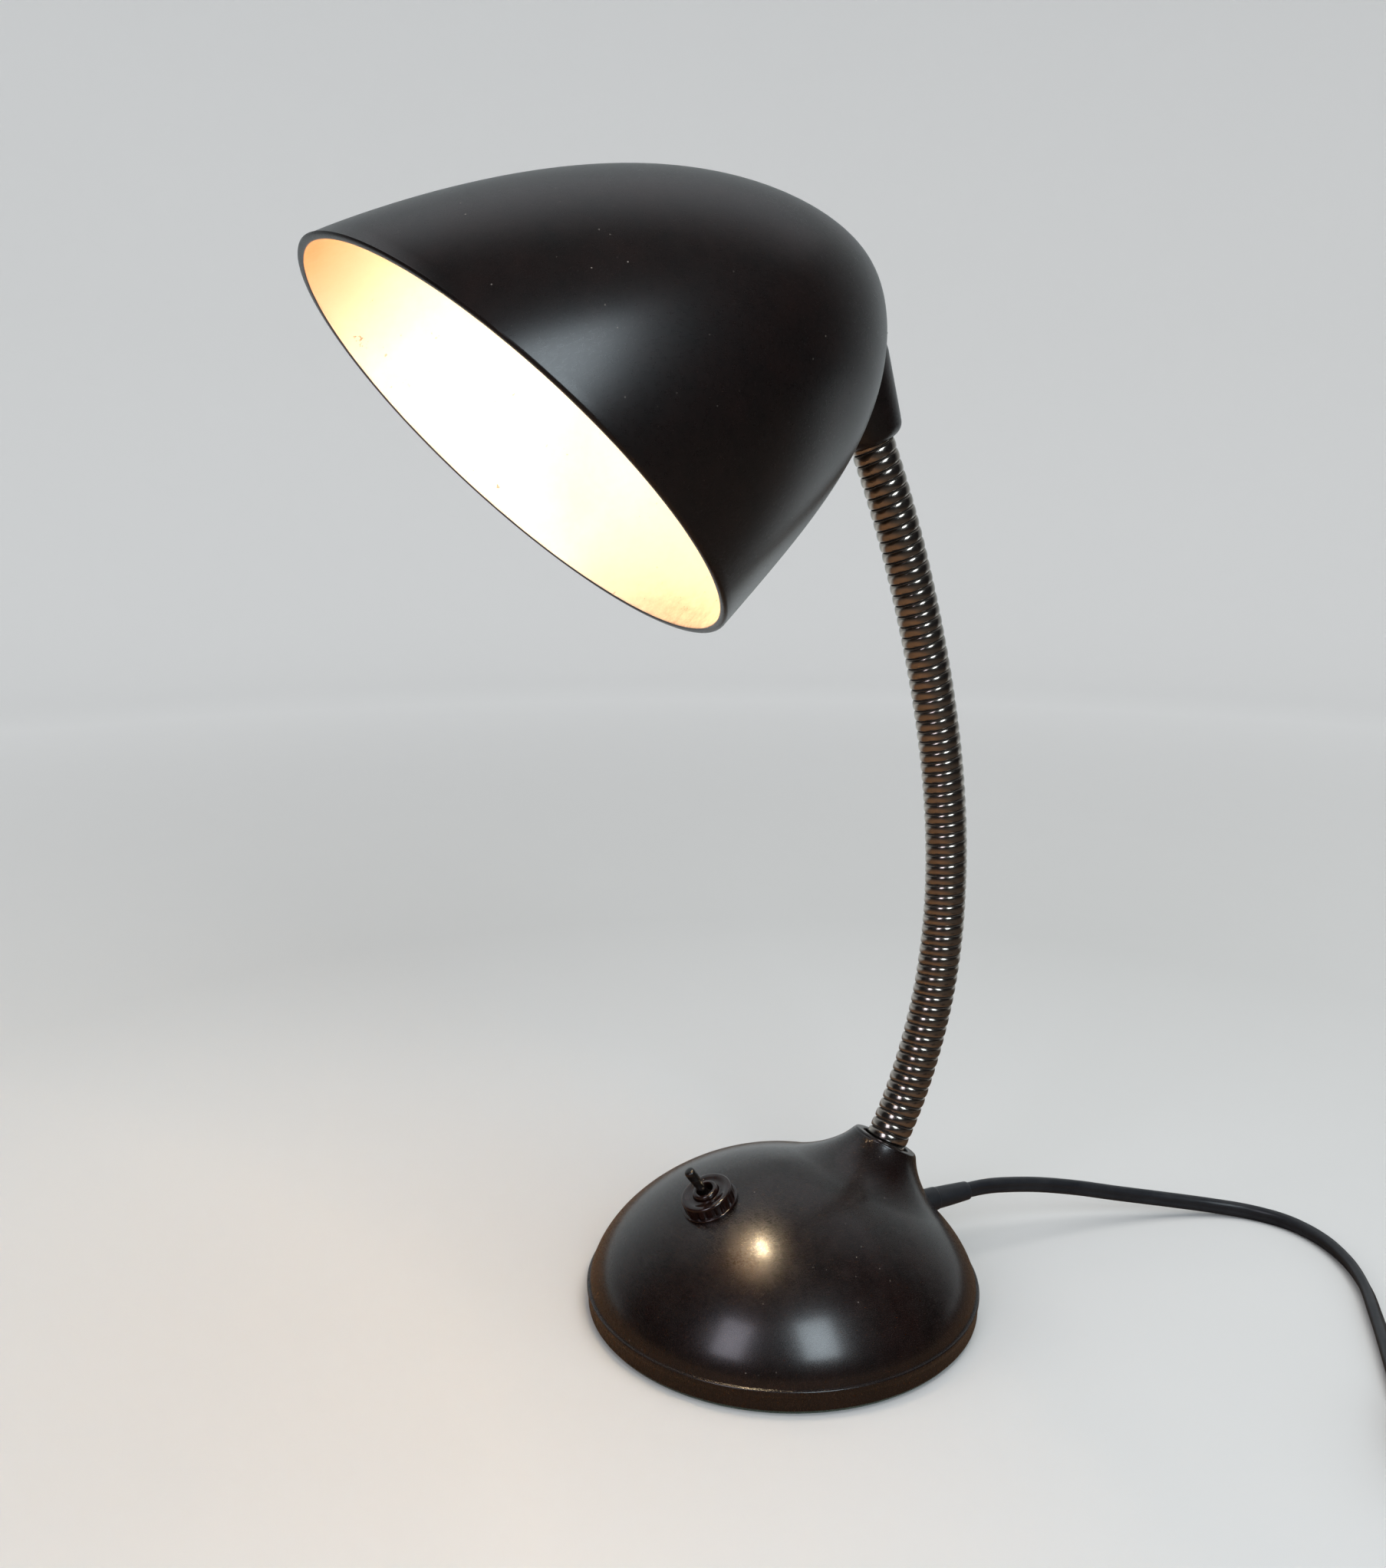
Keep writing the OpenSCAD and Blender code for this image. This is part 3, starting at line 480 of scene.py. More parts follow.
class EffectLibrary:
    """Builds each shared effect once, as a node group."""

    def __init__(self) -> None:
        """Starts with none built."""
        self._built: dict[Effect, bpy.types.NodeTree] = {}

    def _start(self, effect: Effect, inputs: dict[str, float],
               outputs: Sequence[str]) -> tuple[Graph, dict, bpy.types.Node]:
        """Makes an empty group with its sockets."""
        tree = bpy.data.node_groups.new(effect.value, "ShaderNodeTree")
        tree.interface.new_socket("Vector", in_out="INPUT", socket_type="NodeSocketVector")
        for name, value in inputs.items():
            tree.interface.new_socket(name, in_out="INPUT", socket_type="NodeSocketFloat").default_value = value
        for name in outputs:
            tree.interface.new_socket(name, in_out="OUTPUT", socket_type="NodeSocketFloat")
        graph = Graph(tree)
        given = graph.node("NodeGroupInput")
        return graph, {s.name: s for s in given.outputs if s.name}, graph.node("NodeGroupOutput")

    def _mottle(self) -> bpy.types.NodeTree:
        """Clouds of two sizes, for uneven colour."""
        graph, given, out = self._start(Effect.MOTTLE, {"Scale": 90.0, "Spread": 0.25}, ["Mask"])
        wide = graph.node("ShaderNodeTexNoise", {"Vector": given["Vector"], "Scale": given["Scale"],
                                                 "Detail": 4.0, "Roughness": 0.62})
        fine = graph.node("ShaderNodeTexNoise",
                          {"Vector": given["Vector"], "Scale": graph.math("MULTIPLY", given["Scale"], 7.3),
                           "Detail": 3.0, "Roughness": 0.5})
        both = graph.math("ADD", graph.math("MULTIPLY", wide.outputs[0], 0.72),
                          graph.math("MULTIPLY", fine.outputs[0], 0.28))
        low = graph.math("SUBTRACT", 0.5, given["Spread"])
        high = graph.math("ADD", 0.5, given["Spread"])
        mask = graph.node("ShaderNodeMapRange", {0: both, 1: low, 2: high, 3: 0.0, 4: 1.0})
        graph.tree.links.new(mask.outputs[0], out.inputs["Mask"])
        return graph.tree

    def _scratches(self) -> bpy.types.NodeTree:
        """Hair lines in two directions, as from years of wiping."""
        graph, given, out = self._start(Effect.SCRATCHES, {"Scale": 500.0}, ["Height", "Mask"])
        lines = []
        for turn, stretch in (((0.3, 0.2, 0.5), (1.0, 14.0, 1.0)), ((0.9, 1.2, 2.2), (12.0, 1.0, 1.0)),
                              ((2.1, 0.4, 1.3), (1.0, 1.0, 16.0))):
            mapped = graph.node("ShaderNodeMapping", {"Vector": given["Vector"], "Rotation": turn, "Scale": stretch})
            lines.append(graph.node("ShaderNodeTexNoise",
                                    {"Vector": mapped.outputs[0], "Scale": given["Scale"], "Detail": 2.0,
                                     "Roughness": 0.6}).outputs[0])
        total = graph.math("ADD", graph.math("ADD", lines[0], lines[1]), lines[2])
        height = graph.math("DIVIDE", total, 3.0)
        graph.tree.links.new(height, out.inputs["Height"])
        graph.tree.links.new(graph.span(height, 0.56, 0.68), out.inputs["Mask"])
        return graph.tree

    def _edge_wear(self) -> bpy.types.NodeTree:
        """Outer edges rubbed thin, broken up by clouds."""
        graph, given, out = self._start(Effect.EDGE_WEAR, {"Start": 0.53, "End": 0.62}, ["Mask", "Hollow"])
        point = graph.node("ShaderNodeNewGeometry").outputs["Pointiness"]
        cloud = graph.node("ShaderNodeTexNoise", {"Vector": given["Vector"], "Scale": 420.0, "Detail": 4.0})
        edge = graph.node("ShaderNodeMapRange", {0: point, 1: given["Start"], 2: given["End"], 3: 0.0, 4: 1.0})
        broken = graph.math("MULTIPLY", edge.outputs[0], graph.span(cloud.outputs[0], 0.38, 0.62))
        graph.tree.links.new(broken, out.inputs["Mask"])
        graph.tree.links.new(graph.span(point, 0.48, 0.4), out.inputs["Hollow"])
        return graph.tree

    def _dust(self) -> bpy.types.NodeTree:
        """Dust that lies on what faces up, with a few specks and rings left by drops."""
        graph, given, out = self._start(Effect.DUST, {"Amount": 0.2}, ["Mask", "Specks", "Rings"])
        up = graph.node("ShaderNodeSeparateXYZ",
                        {0: graph.node("ShaderNodeNewGeometry").outputs["Normal"]}).outputs["Z"]
        lying = graph.span(up, 0.1, 0.95)
        cloud = graph.node("ShaderNodeTexNoise", {"Vector": given["Vector"], "Scale": 130.0, "Detail": 6.0,
                                                  "Roughness": 0.7})
        film = graph.math("MULTIPLY", graph.math("MULTIPLY", lying, graph.span(cloud.outputs[0], 0.35, 0.75)),
                          given["Amount"])
        cells = graph.node("ShaderNodeTexVoronoi", {"Vector": given["Vector"], "Scale": 260.0})
        rare = graph.node("ShaderNodeTexNoise", {"Vector": given["Vector"], "Scale": 75.0})
        dots = graph.math("MULTIPLY", graph.span(cells.outputs["Distance"], 0.08, 0.05),
                          graph.span(rare.outputs[0], 0.55, 0.6))
        drops = graph.node("ShaderNodeTexVoronoi", {"Vector": given["Vector"], "Scale": 34.0})
        edge = graph.math("ABSOLUTE", graph.math("SUBTRACT", drops.outputs["Distance"], 0.12))
        chosen = graph.node("ShaderNodeSeparateColor", {0: drops.outputs["Color"]}).outputs[0]
        rings = graph.math("MULTIPLY", graph.span(edge, 0.03, 0.008), graph.span(chosen, 0.84, 0.85))
        graph.tree.links.new(graph.math("MULTIPLY", rings, graph.span(up, 0.1, 0.5)), out.inputs["Rings"])
        graph.tree.links.new(film, out.inputs["Mask"])
        graph.tree.links.new(graph.math("MULTIPLY", dots, graph.span(up, -0.2, 0.3)), out.inputs["Specks"])
        return graph.tree

    def _grain(self) -> bpy.types.NodeTree:
        """Fine even grain of a moulded or cast skin."""
        graph, given, out = self._start(Effect.GRAIN, {"Scale": 900.0, "Detail": 3.0}, ["Height"])
        fine = graph.node("ShaderNodeTexNoise", {"Vector": given["Vector"], "Scale": given["Scale"],
                                                 "Detail": given["Detail"], "Roughness": 0.55})
        graph.tree.links.new(fine.outputs[0], out.inputs["Height"])
        return graph.tree

    def place(self, graph: Graph, effect: Effect, vector: bpy.types.NodeSocket, **values: float) -> bpy.types.Node:
        """Places an effect in a material.

        Args:
            graph: The material's graph.
            effect: Which effect.
            vector: The coordinates that it follows.
            values: Its inputs by name.

        Returns:
            The group's node.
        """
        if effect not in self._built:
            makers = {Effect.MOTTLE: self._mottle, Effect.SCRATCHES: self._scratches,
                      Effect.EDGE_WEAR: self._edge_wear, Effect.DUST: self._dust, Effect.GRAIN: self._grain}
            self._built[effect] = makers[effect]()
        made = graph.node("ShaderNodeGroup", node_tree=self._built[effect])
        graph.tree.links.new(vector, made.inputs["Vector"])
        for name, value in values.items():
            made.inputs[name].default_value = value
        return made


EFFECTS = EffectLibrary()


@dataclass(frozen=True)
class Finish:
    """What every finish has: a material of its own with one shader."""

    name: str

    def start(self) -> tuple[bpy.types.Material, Graph, bpy.types.Node, bpy.types.NodeSocket]:
        """Makes the material.

        Returns:
            The material, its graph, its shader and its coordinates.
        """
        material = bpy.data.materials.new(self.name)
        material.use_nodes = True
        graph = Graph(material.node_tree)
        shader = next(n for n in graph.tree.nodes if n.type == "BSDF_PRINCIPLED")
        vector = graph.node("ShaderNodeTexCoord").outputs["Object"]
        return material, graph, shader, vector

    @staticmethod
    def bump(graph: Graph, shader: bpy.types.Node, height: bpy.types.NodeSocket, depth: float,
             strength: float = 1.0) -> None:
        """Joins a height to the shader's normal.

        Args:
            graph: The material's graph.
            shader: Its shader.
            height: The height, from 0 to 1.
            depth: How deep that is, in millimetres.
            strength: How much of it shows.
        """
        made = graph.node("ShaderNodeBump", {"Height": height, "Distance": depth * MM, "Strength": strength})
        graph.tree.links.new(made.outputs[0], shader.inputs["Normal"])


@dataclass(frozen=True)
class Phenolic(Finish):
    """Polished phenolic moulding: dark, faintly mottled, with hair lines and dull edges."""

    dark: Colour = (0.0032, 0.0021, 0.0019)
    warm: Colour = (0.0095, 0.0037, 0.0028)
    worn: Colour = (0.035, 0.019, 0.013)
    roughness: float = 0.25
    coat: float = 0.35
    coat_roughness: float = 0.15
    mottle: float = 70.0
    dust: float = 0.035
    rings: float = 0.0

    def build(self) -> bpy.types.Material:
        """Makes the material.

        Returns:
            The material.
        """
        material, graph, shader, vector = self.start()
        cloud = EFFECTS.place(graph, Effect.MOTTLE, vector, Scale=self.mottle, Spread=0.2)
        hair = EFFECTS.place(graph, Effect.SCRATCHES, vector, Scale=520.0)
        wear = EFFECTS.place(graph, Effect.EDGE_WEAR, vector)
        dust = EFFECTS.place(graph, Effect.DUST, vector, Amount=self.dust)
        colour = graph.mix(cloud.outputs["Mask"], self.dark, self.warm)
        colour = graph.mix(graph.math("MULTIPLY", wear.outputs["Mask"], 0.4), colour, self.worn)
        colour = graph.mix(dust.outputs["Mask"], colour, (0.22, 0.19, 0.17))
        colour = graph.mix(graph.math("MULTIPLY", dust.outputs["Specks"], 0.5), colour, (0.32, 0.28, 0.24))
        rings = graph.math("MULTIPLY", dust.outputs["Rings"], self.rings)
        colour = graph.mix(graph.math("MULTIPLY", rings, 0.5), colour, (0.06, 0.04, 0.026))
        film = graph.math("ADD", dust.outputs["Mask"], graph.math("MULTIPLY", rings, 0.35))
        rough = graph.math("ADD", graph.span(hair.outputs["Height"], 0.35, 0.65, self.roughness - 0.02,
                                             self.roughness + 0.04),
                           graph.math("MULTIPLY", film, 0.4))
        graph.tree.links.new(colour, shader.inputs["Base Color"])
        graph.tree.links.new(rough, shader.inputs["Roughness"])
        shader.inputs["IOR"].default_value = 1.6
        shader.inputs["Coat Weight"].default_value = self.coat
        shader.inputs["Coat Roughness"].default_value = self.coat_roughness
        self.bump(graph, shader, hair.outputs["Height"], 0.003, 0.4)
        return material


@dataclass(frozen=True)
class ShadePaint(Finish):
    """Cream paint inside the shade: yellowed, chipped, rust-stained at the rear tip, and painted darker orange at
    both tips as painted shade where the bulb's light falls off.
    """

    tilt: float
    middle: Triple
    half: float
    cream: Colour = (0.89, 0.85, 0.78)
    yellowed: Colour = (0.87, 0.77, 0.61)
    # Painted shade: the darker orange that both tips are painted where the bulb's light falls off.
    painted_tip_shade: Colour = (0.6, 0.27, 0.1)
    rust: Colour = (0.2, 0.085, 0.035)

    def build(self) -> bpy.types.Material:
        """Makes the material.

        Returns:
            The material.
        """
        material, graph, shader, vector = self.start()
        cloud = EFFECTS.place(graph, Effect.MOTTLE, vector, Scale=45.0, Spread=0.22)
        grain = EFFECTS.place(graph, Effect.GRAIN, vector, Scale=420.0, Detail=4.0)
        chips = graph.node("ShaderNodeTexNoise", {"Vector": vector, "Scale": 210.0, "Detail": 8.0, "Roughness": 0.72})
        rare = graph.node("ShaderNodeTexNoise", {"Vector": vector, "Scale": 38.0, "Detail": 1.0})
        chipped = graph.math("MULTIPLY", graph.span(chips.outputs[0], 0.635, 0.66),
                             graph.span(rare.outputs[0], 0.5, 0.6))
        colour = graph.mix(graph.math("MULTIPLY", cloud.outputs["Mask"], 0.55), self.cream, self.yellowed)
        c, s = math.cos(math.radians(self.tilt)), math.sin(math.radians(self.tilt))
        # Along the opening from front to rear, and from the opening to the crown, both by its radius.
        shifted = graph.node("ShaderNodeVectorMath", {0: vector, 1: tuple(v * MM for v in self.middle)},
                             operation="SUBTRACT").outputs[0]
        scale = 1 / (self.half * MM)
        along, deep = (graph.node("ShaderNodeVectorMath", {0: shifted, 1: way},
                                  operation="DOT_PRODUCT").outputs["Value"]
                       for way in ((0.0, c * scale, -s * scale), (0.0, s * scale, c * scale)))
        # Painted shade: both tips are painted darker orange where the bulb's light falls off, the rear one less.
        front = graph.span(along, -0.42, -0.95)
        rear = graph.math("MULTIPLY", graph.span(along, 0.62, 1.0), 0.6)
        colour = graph.mix(graph.math("ADD", graph.math("MULTIPLY", front, 0.95), rear), colour, self.painted_tip_shade)
        tip = graph.math("MULTIPLY", graph.span(along, 0.84, 1.0), graph.span(deep, 0.2, 0.0))
        blotch = graph.math("MULTIPLY", graph.span(chips.outputs[0], 0.36, 0.62), tip)
        colour = graph.mix(graph.math("MULTIPLY", blotch, 0.8), colour, self.rust)
        colour = graph.mix(graph.math("MULTIPLY", chipped, 0.8), colour, self.rust)
        graph.tree.links.new(colour, shader.inputs["Base Color"])
        graph.tree.links.new(graph.span(cloud.outputs["Mask"], 0, 1, 0.42, 0.6), shader.inputs["Roughness"])
        self.bump(graph, shader, grain.outputs["Height"], 0.05, 0.5)
        return material


@dataclass(frozen=True)
class PlatedMetal(Finish):
    """Plated or bare metal: tarnish clouds, hair lines, and dirt with painted shade where a mesh says it is hollow.
    """

    bright: Colour = (0.66, 0.62, 0.57)
    tarnish: Colour = (0.36, 0.29, 0.22)
    roughness: float = 0.2
    hollow: Optional[str] = None
    grime_and_shade: Colour = (0.02, 0.016, 0.013)

    def build(self) -> bpy.types.Material:
        """Makes the material.

        Returns:
            The material.
        """
        material, graph, shader, vector = self.start()
        cloud = EFFECTS.place(graph, Effect.MOTTLE, vector, Scale=130.0, Spread=0.2)
        hair = EFFECTS.place(graph, Effect.SCRATCHES, vector, Scale=700.0)
        colour = graph.mix(graph.math("MULTIPLY", cloud.outputs["Mask"], 0.5), self.bright, self.tarnish)
        rough = graph.span(hair.outputs["Height"], 0.35, 0.65, self.roughness - 0.06, self.roughness + 0.1)
        shader.inputs["Metallic"].default_value = 1.0
        if self.hollow:
            depth = graph.node("ShaderNodeAttribute", attribute_name=self.hollow).outputs["Fac"]
            # Hollows painted dark: real dirt and painted shade together.
            dirt_and_shade = graph.span(depth, 0.55, 0.85)
            colour = graph.mix(dirt_and_shade, colour, self.grime_and_shade)
            rough = graph.math("ADD", rough, graph.math("MULTIPLY", dirt_and_shade, 0.5))
            graph.tree.links.new(graph.math("SUBTRACT", 1.0, dirt_and_shade), shader.inputs["Metallic"])
        graph.tree.links.new(colour, shader.inputs["Base Color"])
        graph.tree.links.new(rough, shader.inputs["Roughness"])
        self.bump(graph, shader, hair.outputs["Height"], 0.01, 0.5)
        return material


@dataclass(frozen=True)
class CastMetal(Finish):
    """Rough cast iron under thin black paint."""

    def build(self) -> bpy.types.Material:
        """Makes the material.

        Returns:
            The material.
        """
        material, graph, shader, vector = self.start()
        grain = EFFECTS.place(graph, Effect.GRAIN, vector, Scale=620.0, Detail=6.0)
        cloud = EFFECTS.place(graph, Effect.MOTTLE, vector, Scale=110.0, Spread=0.16)
        colour = graph.mix(cloud.outputs["Mask"], (0.028, 0.028, 0.03), (0.07, 0.052, 0.042))
        graph.tree.links.new(colour, shader.inputs["Base Color"])
        graph.tree.links.new(graph.span(cloud.outputs["Mask"], 0, 1, 0.5, 0.8), shader.inputs["Roughness"])
        self.bump(graph, shader, grain.outputs["Height"], 0.35)
        return material


@dataclass(frozen=True)
class FeltCloth(Finish):
    """Grey-green wool felt, with its fuzz and short fibres."""

    def build(self) -> bpy.types.Material:
        """Makes the material.

        Returns:
            The material.
        """
        material, graph, shader, vector = self.start()
        grain = EFFECTS.place(graph, Effect.GRAIN, vector, Scale=1500.0, Detail=8.0)
        cloud = EFFECTS.place(graph, Effect.MOTTLE, vector, Scale=240.0, Spread=0.2)
        fibres = graph.node("ShaderNodeTexNoise", {"Vector": vector, "Scale": 900.0, "Detail": 6.0,
                                                   "Distortion": 3.0})
        colour = graph.mix(cloud.outputs["Mask"], (0.036, 0.052, 0.036), (0.075, 0.095, 0.068))
        colour = graph.mix(graph.span(fibres.outputs[0], 0.55, 0.7, 0.0, 0.5), colour, (0.14, 0.155, 0.12))
        graph.tree.links.new(colour, shader.inputs["Base Color"])
        shader.inputs["Roughness"].default_value = 0.95
        shader.inputs["Sheen Weight"].default_value = 0.5
        shader.inputs["Sheen Roughness"].default_value = 0.4
        self.bump(graph, shader, graph.math("ADD", grain.outputs["Height"], fibres.outputs[0]), 0.22)
        return material


@dataclass(frozen=True)
class Sheath(Finish):
    """Black flexible plastic: a soft shine, with dull patches and dust."""

    black: Colour = (0.0075, 0.0085, 0.011)
    faded: Colour = (0.02, 0.021, 0.024)
    roughness: float = 0.3

    def build(self) -> bpy.types.Material:
        """Makes the material.

        Returns:
            The material.
        """
        material, graph, shader, vector = self.start()
        cloud = EFFECTS.place(graph, Effect.MOTTLE, vector, Scale=60.0, Spread=0.24)
        grain = EFFECTS.place(graph, Effect.GRAIN, vector, Scale=1100.0, Detail=3.0)
        dust = EFFECTS.place(graph, Effect.DUST, vector, Amount=0.08)
        colour = graph.mix(cloud.outputs["Mask"], self.black, self.faded)
        colour = graph.mix(dust.outputs["Mask"], colour, (0.2, 0.19, 0.18))
        graph.tree.links.new(colour, shader.inputs["Base Color"])
        graph.tree.links.new(graph.span(cloud.outputs["Mask"], 0, 1, self.roughness - 0.05, self.roughness + 0.12),
                             shader.inputs["Roughness"])
        self.bump(graph, shader, grain.outputs["Height"], 0.03, 0.6)
        return material


@dataclass(frozen=True)
class Porcelain(Finish):
    """Glazed ceramic of the terminal block, a little crazed."""

    def build(self) -> bpy.types.Material:
        """Makes the material.

        Returns:
            The material.
        """
        material, graph, shader, vector = self.start()
        cloud = EFFECTS.place(graph, Effect.MOTTLE, vector, Scale=150.0, Spread=0.2)
        grain = EFFECTS.place(graph, Effect.GRAIN, vector, Scale=350.0, Detail=2.0)
        colour = graph.mix(cloud.outputs["Mask"], (0.74, 0.7, 0.6), (0.66, 0.6, 0.48))
        graph.tree.links.new(colour, shader.inputs["Base Color"])
        graph.tree.links.new(graph.span(cloud.outputs["Mask"], 0, 1, 0.14, 0.26), shader.inputs["Roughness"])
        self.bump(graph, shader, grain.outputs["Height"], 0.04, 0.5)
        return material


@dataclass(frozen=True)
class OpalGlass(Finish):
    """Opal bulb glass, lit from inside, a little dimmer towards its edge.

    Polished pieces mirror it at its full strength. Elsewhere it gives the plain share of it, as the point
    light at its middle lights the shade.
    """

    glow: Colour = (1.0, 0.8, 0.48)
    strength: float = 70.0
    plain: float = 0.17

    def build(self) -> bpy.types.Material:
        """Makes the material.

        Returns:
            The material.
        """
        material, graph, shader, vector = self.start()
        cloud = EFFECTS.place(graph, Effect.MOTTLE, vector, Scale=35.0, Spread=0.3)
        rim = graph.node("ShaderNodeLayerWeight", {"Blend": 0.35}).outputs["Facing"]
        glow = graph.mix(cloud.outputs["Mask"], self.glow, (1.0, 0.84, 0.55))
        glow = graph.mix(graph.span(rim, 0.2, 1.0, 0.0, 0.75), glow, (0.92, 0.52, 0.19))
        shine = graph.node("ShaderNodeLightPath").outputs["Is Glossy Ray"]
        dimmed = graph.mix(1.0, glow, (self.plain,) * 3, "MULTIPLY")
        glow = graph.mix(shine, dimmed, glow)
        graph.tree.links.new(glow, shader.inputs["Emission Color"])
        graph.tree.links.new(graph.mix(cloud.outputs["Mask"], (0.9, 0.87, 0.8), (0.86, 0.82, 0.73)),
                             shader.inputs["Base Color"])
        graph.tree.links.new(graph.span(cloud.outputs["Mask"], 0, 1, 0.12, 0.2), shader.inputs["Roughness"])
        shader.inputs["Emission Strength"].default_value = self.strength
        return material


@dataclass(frozen=True)
class Plaster(Finish):
    """Pale studio floor and backdrop; the lamp's shine sees a wooden table, a grey wall and a dark room."""

    colour: Colour = (0.6, 0.6, 0.59)
    lit_table: Colour = (0.17, 0.095, 0.05)
    dim_table: Colour = (0.06, 0.045, 0.034)
    pool_at: Triple = (0.0, -0.3, 0.0)
    far_wall: Colour = (0.84, 0.88, 0.88)
    near_wall: Colour = (0.03, 0.028, 0.03)
    backdrop_glow: float = 0.3

    def build(self) -> bpy.types.Material:
        """Makes the material.

        Returns:
            The material.
        """
        material, graph, shader, vector = self.start()
        cloud = EFFECTS.place(graph, Effect.MOTTLE, vector, Scale=3.0, Spread=0.5)
        low = tuple(c * 0.97 for c in self.colour)
        seen = graph.mix(cloud.outputs["Mask"], low, self.colour)
        place = graph.node("ShaderNodeNewGeometry").outputs["Position"]
        away = graph.node("ShaderNodeVectorMath", {0: place, 1: FAR_WAY}, operation="DOT_PRODUCT").outputs["Value"]
        height = graph.node("ShaderNodeSeparateXYZ", {0: place}).outputs["Z"]
        from_pool = graph.node("ShaderNodeVectorMath", {0: place, 1: self.pool_at}, operation="DISTANCE")
        table = graph.mix(graph.span(from_pool.outputs["Value"], 0.25, 0.6), self.lit_table, self.dim_table)
        table = graph.mix(graph.span(away, 0.2, 0.6), table, self.far_wall)
        wall = graph.mix(graph.span(away, 0.3, 1.9), self.near_wall, self.far_wall)
        mirrored = graph.mix(graph.span(height, 0.03, 0.3), table, wall)
        rays = graph.node("ShaderNodeLightPath").outputs
        graph.tree.links.new(graph.mix(rays["Is Glossy Ray"], seen, mirrored), shader.inputs["Base Color"])
        shader.inputs["Roughness"].default_value = 0.75
        shader.inputs["Specular IOR Level"].default_value = 0.2
        distance = graph.node("ShaderNodeVectorMath", {0: place}, operation="LENGTH").outputs["Value"]
        glow = graph.math("MULTIPLY", graph.span(distance, 0.5, 1.6, 0.0, self.backdrop_glow), rays["Is Camera Ray"])
        graph.tree.links.new(glow, shader.inputs["Emission Strength"])
        shader.inputs["Emission Color"].default_value = (0.98, 0.99, 1.0, 1.0)
        return material


class Finishes:
    """Every finish of the lamp, each built once."""

    def __init__(self, shade: "HelmetShade") -> None:
        """Builds them.

        Args:
            shade: The shade, whose paint follows its axes.
        """
        self.bakelite = Phenolic("bakelite_polished", roughness=0.26, rings=1.0).build()
        self.bakelite_shade = Phenolic("bakelite_shade", dark=(0.004, 0.003, 0.0028), warm=(0.009, 0.0045, 0.0038),
                                       roughness=0.28, coat=0.04, coat_roughness=0.2, dust=0.015).build()
        self.ring_nut = Phenolic("bakelite_ring_nut", dark=(0.004, 0.0019, 0.0015), warm=(0.015, 0.0042, 0.0028),
                                 worn=(0.06, 0.025, 0.015), roughness=0.16, coat=0.6, coat_roughness=0.06,
                                 mottle=240.0, dust=0.02).build()
        self.dolly = Phenolic("bakelite_lever", dark=(0.0025, 0.002, 0.0019), warm=(0.005, 0.0035, 0.0032),
                              roughness=0.24, mottle=260.0, dust=0.02).build()
        self.holder = Phenolic("bakelite_holder", dark=(0.014, 0.009, 0.007), warm=(0.028, 0.014, 0.01),
                               roughness=0.34, coat=0.1, mottle=160.0, dust=0.05).build()
        self.paint = ShadePaint("shade_cream_paint", shade.tilt, shade.at.origin, shade.rim_r).build()
        self.hose = PlatedMetal("hose_plated_steel", bright=(0.56, 0.51, 0.46), tarnish=(0.33, 0.27, 0.22),
                                roughness=0.17, hollow="groove").build()
        self.zinc = PlatedMetal("zinc_plated_steel", bright=(0.55, 0.55, 0.53), tarnish=(0.3, 0.28, 0.25),
                                roughness=0.36).build()
        self.brass = PlatedMetal("brass_aged", bright=(0.68, 0.47, 0.2), tarnish=(0.33, 0.2, 0.09),
                                 roughness=0.3).build()
        self.cap = PlatedMetal("bulb_cap_aluminium", bright=(0.72, 0.7, 0.66), tarnish=(0.46, 0.42, 0.36),
                               roughness=0.3).build()
        self.pins = PlatedMetal("pin_nickel", bright=(0.7, 0.67, 0.6), tarnish=(0.45, 0.4, 0.32),
                                roughness=0.2).build()
        self.iron = CastMetal("cast_iron_painted").build()
        self.felt = FeltCloth("felt_grey_green").build()
        self.sheath = Sheath("cord_sheath_black").build()
        self.plug = Sheath("plug_moulded_black", black=(0.011, 0.011, 0.012), faded=(0.022, 0.021, 0.021),
                           roughness=0.42).build()
        self.ceramic = Porcelain("terminal_ceramic").build()
        self.glass = OpalGlass("bulb_opal_lit").build()
        self.floor = Plaster("studio_floor").build()


# ---- Camera, floor and lights -----------------------------------------------------------------


